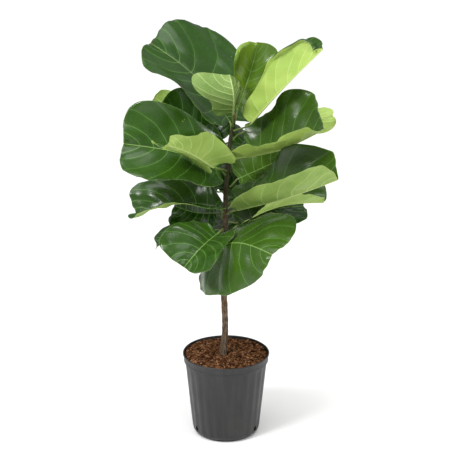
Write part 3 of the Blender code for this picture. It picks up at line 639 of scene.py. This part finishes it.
def grown_leaf(name, spec, seed):
    """One closed skin: stalk rings, then blade sections that run from the right margin over the upper
    side to the left margin and back along the underside.

    The sheet is lifted along its normal by its quilting, a bell-shaped dip at each vein taken from a
    swell, by a slow unevenness, and by a frill near margins that don't roll far. The underside stands off
    by half the blade and by the ridges of the midrib and side veins, and the upper side is pressed in
    along the midrib.
    """
    sheet = blade_points(spec, grid_t, grid_u)
    normal, spacing, from_midrib, from_edge = sheet_facts(sheet)
    nearest = np.clip(np.round(phase_grid), 1, len(SIDE_VEINS))
    off_vein = np.abs(phase_grid - nearest) * spacing
    ends = ease(grid_q / 0.06) * ease((1 - grid_q) / 0.06)
    quilt = (1 - np.exp(-(off_vein / VEIN_DIP) ** 2)) * (1 - np.exp(-(from_midrib / MIDRIB_DIP) ** 2))
    slow = uneven(sheet, SLOW_SIZE, seed) * ease(from_midrib / 0.03)
    lift = (QUILT * quilt * ease(from_edge / 0.02) + SLOW * slow) * ends
    if name not in ROLLS:
        lift = lift + FRILL * uneven(sheet, FRILL_SIZE, seed + 50) * np.exp(-from_edge / 0.014) * ends
    sheet = rolled(sheet + normal * lift[..., None], name, seed)
    normal, _, from_midrib, from_edge = sheet_facts(sheet)

    rib = 0.0006 + 0.0021 * (1 - grid_q) ** 0.8
    ridge = 1.15 * rib * np.exp(-(from_midrib / (1.1 * rib)) ** 2)
    side_rib = SIDE_RIB * (1 - np.abs(grid_u)) ** 0.5 * np.exp(-(off_vein / SIDE_RIB_HALF) ** 2) * ends
    side_rib = side_rib * ease(from_midrib / 0.004)
    groove = GROOVE * np.exp(-(from_midrib / GROOVE_HALF) ** 2) * ends
    edge = np.sqrt(np.clip(from_edge / EDGE_ROUND, 0, 1))
    top = sheet + normal * (BLADE_HALF * edge - groove)[..., None]
    bottom = sheet - normal * ((BLADE_HALF + ridge + side_rib) * edge)[..., None]

    line, tangent, s = petiole_line(spec, STALK_ROWS)
    up = unit(np.array(spec["face"][0], float))
    up = unit(up - (tangent @ up)[:, None] * tangent)
    side = np.cross(up, tangent)
    turn = np.pi * (0.5 - 0.5 * np.linspace(-1, 1, len(columns)))
    thick = PETIOLE_RADIUS * (1 + 0.5 * np.exp(-s / 0.08) + 0.06 * np.sin(23 * s + seed))[:, None, None]
    flat = line[:, None] + side[:, None] * np.cos(turn)[None, :, None] * thick
    bulge = up[:, None] * np.sin(turn)[None, :, None] * thick
    top = np.concatenate([flat + bulge * 0.85, top])
    bottom = np.concatenate([flat - bulge, bottom])
    skin = np.concatenate([top, bottom[:, -2:0:-1]], axis=1)

    def round_trip(grid, stalk_value):
        """A blade grid carried round the section and back over the stalk rings."""
        full = np.concatenate([np.full((STALK_ROWS, len(columns)), stalk_value), grid])
        return np.concatenate([full, full[:, -2:0:-1]], axis=1).ravel()

    around = skin.shape[1]
    faces = [face[:1] + face[:0:-1] for face in tube_faces(len(skin), around)]
    row, column = np.divmod(np.arange(len(faces) - 2), around)
    which = np.where(row < STALK_ROWS - 1, 2, np.where(column < len(columns) - 1, 0, 1))
    uv = np.stack([round_trip(phase_grid, 0.0), 0.5 + 0.5 * round_trip(grid_u, 0.0)], -1)
    # Both tones carry painted light as well as the leaf's age: a lighter upper side on shaded leaves, a
    # painted glow on lit undersides, and a lighter left half.
    tone, under_tone = spec["fresh"]
    left_half = ease(round_trip(grid_u, 0.0) * 1.6)
    made = make_object(
        name + "_blade", skin, faces, [upper, under, stalk], [*which, 2, 0], uv,
        {"spacing": round_trip(np.clip(spacing, 0.0005, 0.2), 0.05),
         "from_midrib": round_trip(from_midrib, 0.0), "from_edge": round_trip(from_edge, 0.01),
         "freshness_with_painted_light": tone + spec["left_fresher"] * left_half,
         "under_freshness_with_painted_glow": np.full(len(left_half), under_tone)})
    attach(made, "root")
    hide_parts(name)
    return made


# %% Grow them all
leaves = [grown_leaf(name, spec, 10 + k) for k, (name, spec) in enumerate(LEAVES.items())]
print("leaf polygons:", sum(len(obj.data.polygons) for obj in leaves))

# %% [markdown]
# ## The trunk
# The trunk is bare grey-brown wood, still green near its tip, with thin ridges that run round it where old
# leaves fell off, and fine cracks along it. Its upper part is painted dark green: partly the young green
# wood, partly painted shade from the foliage over it. It flares a little where it enters the mix. It is a
# tube along a smooth line, and its radius is moved in and out by those ridges and by unevenness stretched
# along the trunk.

# %% Bark finish
bark, tree, shader, place = new_material("trunk_bark", Roughness=0.85, Specular_IOR_Level=0.3)
grain = noise(tree, upright(tree, place, 0.22), 260.0, 5.0, 0.65)
patches = noise(tree, place, 38.0, 4.0)
colour = mixed(tree, spread(tree, grain, 0.35, 0.66), rgb(0.040, 0.025, 0.016), rgb(0.185, 0.138, 0.095))
colour = mixed(tree, spread(tree, patches, 0.42, 0.62), colour, rgb(1.0, 0.80, 0.62), "MULTIPLY")
lichen = spread(tree, noise(tree, place, 90.0, 4.0), 0.60, 0.68)
scar = stored(tree, "scar")
# painted shade: the trunk darker and greener from 0.66 to 0.82 m up, partly the young green wood, partly the
# shade of the foliage over it
young_wood_and_painted_shade = spread(tree, node(tree, "SeparateXYZ", {0: place}).outputs["Z"], 0.66, 0.82)
for mask, share, shade in ((lichen, 0.5, (0.21, 0.21, 0.155)), (scar, 0.6, (0.05, 0.028, 0.016)),
                           (young_wood_and_painted_shade, 0.8, (0.030, 0.034, 0.012))):
    colour = tinted(tree, colour, mask, share, shade)
finish(tree, shader, colour, grain, 0.7, 0.0015)

# %% Trunk shape
TRUNK_SIDES = 64
TRUNK_RINGS = 700
SCAR_STEP = 0.031           # how far apart the fallen leaves' scars are on the bare wood
LOWEST_SCAR = 0.275
SCAR_HEIGHT, CRACK_DEPTH, KNOB_HEIGHT = 0.0009, 0.00035, 0.0005


def make_trunk():
    """Rings round the centre line. Radius = the line's own radius, which flares near the mix, plus a thin
    ridge at each scar, mostly on the side where its leaf grew, plus cracks and slow knobs."""
    share = np.linspace(0, 1, TRUNK_RINGS)
    data = curve_through([(*p, r) for p, r in zip(TRUNK_LINE, TRUNK_RADIUS)], share)
    way = np.linspace(0, 2 * np.pi, TRUNK_SIDES, endpoint=False)[None]
    z = data[:, 2:3]
    skin = data[:, None, :3] + circle(TRUNK_SIDES)[None] * data[:, 3][:, None, None]
    scars = np.zeros((TRUNK_RINGS, TRUNK_SIDES))
    heights = [LOWEST_SCAR + SCAR_STEP * k for k in range(12)] + [spec["joint"] for spec in LEAVES.values()]
    for k, height in enumerate(heights):
        toward = 2.4 * k + 0.5
        sidedness = 0.5 + 0.5 * np.cos(way - toward)
        off = z - height - 0.0035 * np.cos(way - toward)
        scars += np.exp(-(off / 0.0011) ** 2) * (0.30 + 0.70 * sidedness ** 3)
    cracks = uneven(skin * (1, 1, 0.30), 0.006, 3, 9) * 0.5 + uneven(skin * (1, 1, 0.25), 0.0028, 4, 9) * 0.35
    knobs = uneven(skin, 0.022, 5)
    radius = SCAR_HEIGHT * np.clip(scars, 0, 1.4) + CRACK_DEPTH * cracks + KNOB_HEIGHT * knobs
    points = skin + circle(TRUNK_SIDES)[None] * radius[..., None]
    made = make_object("trunk_bark_skin", points, tube_faces(TRUNK_RINGS, TRUNK_SIDES), [bark],
                       values={"scar": np.clip(scars, 0, 1)})
    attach(made, "root")
    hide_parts("trunk")
    return made


trunk = make_trunk()
print("trunk polygons:", len(trunk.data.polygons))

# %% [markdown]
# ## The terminal bud
# The newest leaf waits inside a dry, papery sheath, a narrow pointed cone on the end of the trunk. Thin
# folds run up it.

# %% Bud sheath
sheath, tree, shader, place = new_material("bud_sheath_paper", Roughness=0.6)
fibres = noise(tree, upright(tree, place, 0.12), 700.0, 4.0)
colour = mixed(tree, spread(tree, fibres, 0.38, 0.62), rgb(0.13, 0.065, 0.025), rgb(0.34, 0.22, 0.09))
finish(tree, shader, colour, fibres, 0.5, 0.0008)

BUD_HEIGHT = 0.030
BUD_RINGS = 60
BUD_SIDES = 40
BUD_PROFILE = ((0.0, 0.15, 0.4, 0.65, 0.85, 0.97), (0.0030, 0.0048, 0.0052, 0.0038, 0.0020, 0.0006))


def make_bud():
    """Rings up a leaning line, the radius a curve through a few values, with five shallow folds."""
    foot = np.array(TRUNK_LINE[-1]) + (0, 0, GAP)
    lean = np.array((0.10, -0.05, 1.0))
    share = np.linspace(0, 0.97, BUD_RINGS)
    radius = np.interp(share, *BUD_PROFILE)
    angle = np.linspace(0, 2 * np.pi, BUD_SIDES, endpoint=False)
    folds = 1 - 0.10 * (0.5 + 0.5 * np.cos(5 * angle[None] + 9 * share[:, None])) ** 3
    centre = foot + share[:, None] * BUD_HEIGHT * lean
    points = centre[:, None] + circle(BUD_SIDES)[None] * (radius[:, None] * folds)[..., None]
    made = make_object("bud_sheath_skin", points, tube_faces(BUD_RINGS, BUD_SIDES), [sheath])
    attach(made, "root")
    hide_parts("terminal_bud")
    return made


bud = make_bud()
print("bud is", round(bud.dimensions.z * 1000, 1), "mm tall")

# %% [markdown]
# ## The pot
# A nursery pot is blown or moulded from thin black plastic. Its wall has shallow upright ribs that stiffen
# it, a smooth collar under a rolled lip, a chamfered foot, and drain holes low on the wall. A turned
# profile carried round the axis gives all of it, with the ribs as a wave of the radius. The holes are cut
# with a Boolean, and the cut mesh is kept.

# %% Pot finish
plastic, tree, shader, place = new_material("pot_satin_plastic", Specular_IOR_Level=0.45)
height = node(tree, "SeparateXYZ", {0: place}).outputs["Z"]
streaks = noise(tree, upright(tree, place, 0.08), 70.0, 5.0, 0.6)
clouds = noise(tree, place, 12.0, 5.0, 0.6)
colour = mixed(tree, spread(tree, streaks, 0.35, 0.7), rgb(0.010, 0.0105, 0.011), rgb(0.018, 0.0185, 0.019))
dust = sums(tree, "MULTIPLY", spread(tree, clouds, 0.45, 0.75), spread(tree, height, 0.16, 0.0, 0.15, 0.6))
colour = mixed(tree, dust, colour, rgb(0.040, 0.038, 0.034))
grit = spread(tree, noise(tree, place, 900.0, 2.0), 0.66, 0.72)
colour = tinted(tree, colour, grit, 0.5, (0.09, 0.072, 0.055))
tree.links.new(spread(tree, clouds, 0.3, 0.7, 0.36, 0.52), shader.inputs["Roughness"])
fine = sums(tree, "ADD", noise(tree, place, 650.0, 2.0), sums(tree, "MULTIPLY", streaks, 1.5))
finish(tree, shader, colour, fine, 0.15, 0.0008)

# %% Pot shape
RIB_COUNT = 24
RIB_DEPTH = 0.0012
POT_SIDES = 480
RIM_WANDER = 0.0005
# (radius, height, share of the rib depth), outside from the base up, then inside down
POT_PROFILE = (
    (0.020, 0.0016, 0), (0.060, 0.0016, 0), (0.078, 0.0010, 0), (0.0865, 0.0, 0), (0.0885, 0.0004, 0),
    (0.0965, 0.0082, 0.0), (0.0985, 0.0105, 0.1), (0.1010, 0.0150, 0.6), (0.10185, 0.0190, 1),
    (0.1035, 0.034, 1), (0.1063, 0.060, 1), (0.1124, 0.120, 1), (0.1185, 0.180, 1), (0.1222, 0.216, 1),
    (0.1229, 0.2225, 0.7), (0.1236, 0.2285, 0.15), (0.1240, 0.2308, 0), (0.1252, 0.2322, 0),
    (0.1272, 0.2326, 0), (0.1280, 0.2334, 0), (0.1278, 0.2350, 0), (0.1275, 0.2372, 0), (0.1283, 0.2440, 0),
    (0.1292, 0.2505, 0), (0.1297, 0.2522, 0), (0.1307, 0.2530, 0), (0.1310, 0.2545, 0), (0.1308, 0.2562, 0),
    (0.1300, 0.2570, 0), (0.1284, 0.2570, 0), (0.1274, 0.2563, 0), (0.1269, 0.2548, 0), (0.1262, 0.2450, 0),
    (0.1251, 0.2360, 0), (0.1222, 0.2310, 0), (0.1205, 0.2200, 1), (0.1102, 0.120, 1), (0.0998, 0.018, 1),
    (0.0955, 0.0105, 0), (0.0860, 0.0030, 0), (0.020, 0.0032, 0),
)


def pot_rings():
    """The profile carried round the axis. Each rib is one wave of the radius, with a rounded crest and a
    flatter valley. The rim wanders by under a millimetre, as thin plastic does."""
    angle = np.linspace(0, 2 * np.pi, POT_SIDES, endpoint=False)
    wave = 0.5 + 0.5 * np.cos(RIB_COUNT * angle)
    rib = RIB_DEPTH * (ease(wave) - 1)
    rings = []
    for r, z, share in POT_PROFILE:
        wander = RIM_WANDER * (np.sin(2 * angle + 0.6) + 0.6 * np.sin(5 * angle + 2) - 1.2)
        radius = r + share * rib + wander * ease((r - 0.10) / 0.03)
        rings.append(circle(POT_SIDES) * radius[:, None] + (0, 0, z))
    return np.array(rings)


def cut_and_keep(obj, cutter):
    """Takes the cutter's shape out of the object and stores the result as its mesh."""
    step = obj.modifiers.new("cut", "BOOLEAN")
    step.operation, step.solver, step.object = "DIFFERENCE", "EXACT", cutter
    cut_mesh = bpy.data.meshes.new_from_object(obj.evaluated_get(bpy.context.evaluated_depsgraph_get()))
    obj.modifiers.remove(step)
    obj.data = cut_mesh
    bpy.data.objects.remove(cutter, do_unlink=True)


# %% Drain holes
HOLE_DEGREES = (-150, -30, 90)      # turns round the pot
HOLE_PLACE = (0.101, 0.0255)        # distance from the axis and height of a hole's middle
HOLE_HALF = (0.0062, 0.0095)        # half of its width and of its height
HOLE_SIDES = 24


def hole_cutters():
    """Rounded slots, taller than wide: ellipses carried along a short line that points out of the pot."""
    angle = np.linspace(0, 2 * np.pi, HOLE_SIDES, endpoint=False)
    points, faces = [], []
    for degrees in HOLE_DEGREES:
        turn = math.radians(degrees)
        out = np.array((math.cos(turn), math.sin(turn), 0))
        round_way = np.array((-math.sin(turn), math.cos(turn), 0))
        for push in (-0.014, 0.012):
            middle = out * (HOLE_PLACE[0] + push) + (0, 0, HOLE_PLACE[1])
            tall = np.outer(np.sin(angle), (0, 0, HOLE_HALF[1]))
            wide = np.outer(np.cos(angle), round_way * HOLE_HALF[0])
            points.append(middle + tall + wide)
        first = (len(points) - 2) * HOLE_SIDES
        faces += [tuple(first + n for n in face) for face in tube_faces(2, HOLE_SIDES)]
    return make_object("hole_cutter", np.concatenate(points), faces, [])


def make_pot():
    """The turned shell with its holes cut, smooth but for its corners."""
    rings = pot_rings()
    made = make_object("pot_shell", rings, tube_faces(len(rings), POT_SIDES), [plastic])
    cut_and_keep(made, hole_cutters())
    made.data.polygons.foreach_set("use_smooth", np.ones(len(made.data.polygons), bool))
    made.data.set_sharp_from_angle(angle=math.radians(38))
    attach(made, "root")
    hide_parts("pot")
    return made


pot = make_pot()
print("pot polygons:", len(pot.data.polygons), "rim", round(pot.dimensions.x * 1000, 1), "mm")

# %% [markdown]
# ## The potting mix
# The mix is coarse composted bark and coir: a lumpy bed, with loose chips and curled fibres over it. The
# bed is a closed body of rings that fits the pot. Chips and fibres are scattered with a seeded draw, and
# each has only a few faces because there are thousands of them.

# %% Mix finish
crumbs, tree, shader, place = new_material("bark_and_coir", Roughness=0.95, Specular_IOR_Level=0.0)
tone = stored(tree, "tone")
ramp = node(tree, "ValToRGB", {"Fac": tone})
for spot, shade in ((0.0, (0.006, 0.003, 0.0015)), (0.3, (0.062, 0.024, 0.011)), (0.6, (0.175, 0.074, 0.035)),
                    (0.85, (0.32, 0.160, 0.078)), (1.0, (0.46, 0.28, 0.155))):
    # a new ramp has two stops already, the first and the last
    stop = ramp.color_ramp.elements.new(spot) if 0 < spot < 1 else ramp.color_ramp.elements[-int(spot)]
    stop.color = rgb(*shade)
flecks = spread(tree, noise(tree, place, 500.0, 5.0, 0.65), 0.3, 0.7, 0.55, 1.45)
grey = node(tree, "CombineXYZ", {0: flecks, 1: flecks, 2: flecks}).outputs[0]
colour = mixed(tree, 1.0, ramp.outputs["Color"], grey, "MULTIPLY")
finish(tree, shader, colour, noise(tree, place, 700.0, 4.0), 0.6, 0.0012)

# %% Bed of mix
SOIL_TOP = 0.2495
BED_SIDES = 300
# (radius, height) up the side of the bed
BED_WALL = ((0.006, 0.0036), (0.085, 0.0036), (0.094, 0.0125), (0.1085, 0.120), (0.1185, 0.2195),
            (0.1218, 0.2345))
PITS = ((-0.028, -0.010, 0.011), (0.040, -0.028, 0.012), (0.092, -0.045, 0.010),
        (-0.030, -0.098, 0.009), (-0.070, 0.020, 0.010), (0.030, 0.060, 0.014))
PIT_DEPTH = 0.0055
soil = np.random.default_rng(21)


def surface_height(x, y):
    """Height of the bed's top: a slow swell, crumbs of several sizes, and a few pits."""
    flat = np.stack([x, y, np.zeros_like(x)], -1)
    lumps = 0.0018 * uneven(flat, 0.055, 31) + 0.0012 * uneven(flat, 0.018, 32, 9)
    crumb = 0.0010 * uneven(flat, 0.0075, 33, 12) + 0.0007 * uneven(flat, 0.004, 34, 12)
    pits = sum(PIT_DEPTH * np.exp(-((x - px) ** 2 + (y - py) ** 2) / size ** 2) for px, py, size in PITS)
    rim_drop = 0.003 * ease((np.hypot(x, y) - 0.112) / 0.012)
    return SOIL_TOP + 0.0015 + lumps + crumb - pits - rim_drop


def make_bed():
    """Rings up the inside of the pot's wall, then inwards over the uneven top."""
    rings = [circle(BED_SIDES) * r + (0, 0, z) for r, z in BED_WALL]
    for r in np.linspace(0.1238, 0.0015, 110):
        x, y, _ = r * circle(BED_SIDES).T
        rings.append(np.stack([x, y, surface_height(x, y)], -1))
    points = np.concatenate(rings)
    tone_value = 0.14 + 0.16 * uneven(points, 0.012, 35) + 0.10 * uneven(points, 0.004, 36, 12)
    made = make_object("mix_bed", points, tube_faces(len(rings), BED_SIDES), [crumbs],
                       values={"tone": np.clip(tone_value, 0, 1)})
    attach(made, "root")
    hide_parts("potting_mix")
    return made


bed = make_bed()
print("bed polygons:", len(bed.data.polygons))


# %% Scattering
CLEAR_OF_TRUNK, REACH = 0.014, 0.121     # the ring of the bed that loose pieces land on


def scatter(count):
    """Seeded places on the bed, evenly spread over the disc and clear of the trunk, and their turns."""
    radius = np.sqrt(soil.uniform(CLEAR_OF_TRUNK ** 2, REACH ** 2, count))
    way = soil.uniform(0, 2 * np.pi, count)
    x, y = radius * np.cos(way), radius * np.sin(way)
    return np.stack([x, y, surface_height(x, y)], -1), soil.uniform(0, 2 * np.pi, count)


def frames(turn, tilt):
    """A turned and tilted set of three directions for each piece: along, across and up."""
    along = np.stack([np.cos(turn) * np.cos(tilt), np.sin(turn) * np.cos(tilt), np.sin(tilt)], -1)
    across = np.stack([-np.sin(turn), np.cos(turn), np.zeros_like(turn)], -1)
    return along, across, np.cross(along, across)


def many_tubes(name, points, steps, around, tones):
    """One object of many closed tubes with the same number of rings and sides, each with its own tone."""
    per = steps * around
    firsts = np.arange(len(points)) * per
    quads = (ring_quads(steps, around)[None] + firsts[:, None, None]).reshape(-1, 4).tolist()
    caps = [tuple(first + n for n in range(around - 1, -1, -1)) for first in firsts.tolist()]
    caps += [tuple(first + per - around + n for n in range(around)) for first in firsts.tolist()]
    return make_object(name, points, quads + caps, [crumbs], values={"tone": np.repeat(tones, per)})


def make_chips(name, count, length, width, thick, tone_low, tone_high):
    """Bark chips: six-sided slabs in four sections, tapered at both ends and jittered."""
    place, turn = scatter(count)
    along, across, up = frames(turn, soil.normal(0, 0.35, count))
    size = soil.uniform(0.45, 1.0, (count, 1, 1, 1)) ** 1.2
    angle = np.linspace(0, 2 * np.pi, 6, endpoint=False)
    where = np.array((-0.5, -0.28, 0.25, 0.5))
    girth = np.array((0.45, 0.95, 1.0, 0.40))
    local_x = where[None, :, None] * length + soil.normal(0, 0.0004, (count, 4, 6))
    local_y = np.outer(girth, np.cos(angle)) * width / 2 * soil.uniform(0.7, 1.3, (count, 4, 6))
    local_z = np.outer(girth, np.sin(angle)) * thick / 2 * soil.uniform(0.7, 1.3, (count, 4, 6))
    local = np.stack([local_x, local_y, local_z], -1) * size
    points = sum(local[..., k:k + 1] * axis[:, None, None] for k, axis in enumerate((along, across, up)))
    points = points + (place + (0, 0, thick * 0.25))[:, None, None]
    made = many_tubes(name, points, 4, 6, soil.uniform(tone_low, tone_high, count))
    made.data.set_sharp_from_angle(angle=math.radians(35))
    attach(made, "root")
    return made


def make_fibres(name, count, length, thick, tone_low, tone_high):
    """Coir fibres: thin four-sided strands along an arc that lifts off the bed in the middle."""
    place, turn = scatter(count)
    along, across, up = frames(turn, soil.normal(0, 0.25, count))
    steps = 7
    s = np.linspace(-0.5, 0.5, steps)
    long = soil.uniform(0.4, 1.0, (count, 1)) * length
    bend = soil.normal(0, 0.35, (count, 1)) * long
    hump = soil.uniform(0.02, 0.22, (count, 1)) * long
    line = (place[:, None] + along[:, None] * (s[None] * long)[..., None]
            + across[:, None] * ((s[None] ** 2 * 4 - 0.5) * bend)[..., None]
            + np.array((0, 0, 1.0)) * ((1 - 4 * s[None] ** 2) * hump + 0.0004)[..., None])
    taper = (1 - 0.7 * np.abs(2 * s)) * thick / 2
    angle = np.linspace(0, 2 * np.pi, 4, endpoint=False)
    ring = (np.cos(angle)[None, None, :, None] * across[:, None, None]
            + np.sin(angle)[None, None, :, None] * up[:, None, None])
    points = line[:, :, None] + ring * taper[None, :, None, None]
    made = many_tubes(name, points, steps, 4, soil.uniform(tone_low, tone_high, count))
    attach(made, "root")
    return made


# %% Chips and fibres
loose = [
    make_chips("bark_chips_large", 420, 0.015, 0.009, 0.0042, 0.15, 0.80),
    make_chips("bark_chips_small", 1500, 0.0065, 0.0038, 0.0022, 0.15, 0.95),
    make_chips("pale_wood_flakes", 240, 0.007, 0.0028, 0.0012, 0.80, 1.0),
    make_fibres("coir_fibres", 1300, 0.018, 0.0006, 0.50, 1.0),
]
print("loose polygons:", sum(len(obj.data.polygons) for obj in loose))

# %% [markdown]
# ## Floor, light and camera
# The plant stands on a plain pale floor under soft studio light: a broad overhead light, a softbox above
# and to the left, a weaker one on the right, and a pale surround. The camera looks down on it a little
# from the front.

# %% Floor
paper, tree, shader, place = new_material("studio_floor", Roughness=0.9, Specular_IOR_Level=0.1)
faint = spread(tree, noise(tree, place, 3.0), 0.3, 0.7)
pale = mixed(tree, faint, rgb(0.945, 0.945, 0.945), rgb(0.955, 0.955, 0.955))
tree.links.new(pale, shader.inputs["Base Color"])
FLOOR_HALF = 20.0
corners = [(x * FLOOR_HALF, y * FLOOR_HALF, 0) for x, y in ((-1, -1), (1, -1), (1, 1), (-1, 1))]
floor = make_object("studio_floor_sheet", corners, [(0, 1, 2, 3)], [paper])

# %% Light
SURROUND = 0.42
OVERHEAD, OVERHEAD_SPREAD = 2.2, 60     # strength, and degrees of sky that it fills
scene = bpy.context.scene
world = bpy.data.worlds.new("pale_surround")
world.use_nodes = True
world.node_tree.nodes["Background"].inputs["Color"].default_value = rgb(1.0, 1.0, 1.0)
world.node_tree.nodes["Background"].inputs["Strength"].default_value = SURROUND
scene.world = world


def softbox(name, spot, aim, size, power):
    """A square lamp at a spot, turned to face a point."""
    lamp = bpy.data.lights.new(name, "AREA")
    lamp.shape, lamp.size, lamp.energy = "SQUARE", size, power
    holder = placed(name, lamp)
    way = np.array(aim, float) - np.array(spot, float)
    holder.location = spot
    tilt = math.atan2(math.hypot(way[0], way[1]), -way[2])
    holder.rotation_euler = (tilt, 0.0, math.atan2(-way[0], way[1]))


sky_lamp = bpy.data.lights.new("overhead_light", "SUN")
sky_lamp.energy, sky_lamp.angle = OVERHEAD, math.radians(OVERHEAD_SPREAD)
overhead = placed("overhead_light", sky_lamp)
overhead.rotation_euler = (math.radians(12), math.radians(-6), 0)
softbox("key_softbox", (-1.5, -1.6, 2.6), (0, 0, 0.9), 0.7, 52)
softbox("fill_softbox", (2.2, -1.4, 1.9), (0, 0, 0.8), 0.6, 26)
scene.view_settings.view_transform = "Standard"

# %% Camera
LOOKS_DOWN = 19.04          # degrees
lens = bpy.data.cameras.new("front_camera")
lens.sensor_width = 36.0
lens.lens = 132.2
camera = placed("front_camera", lens)
camera.location = (-0.003, -4.6, 2.25)
camera.rotation_euler = (math.radians(90 - LOOKS_DOWN), 0.0, 0.0)
scene.camera = camera
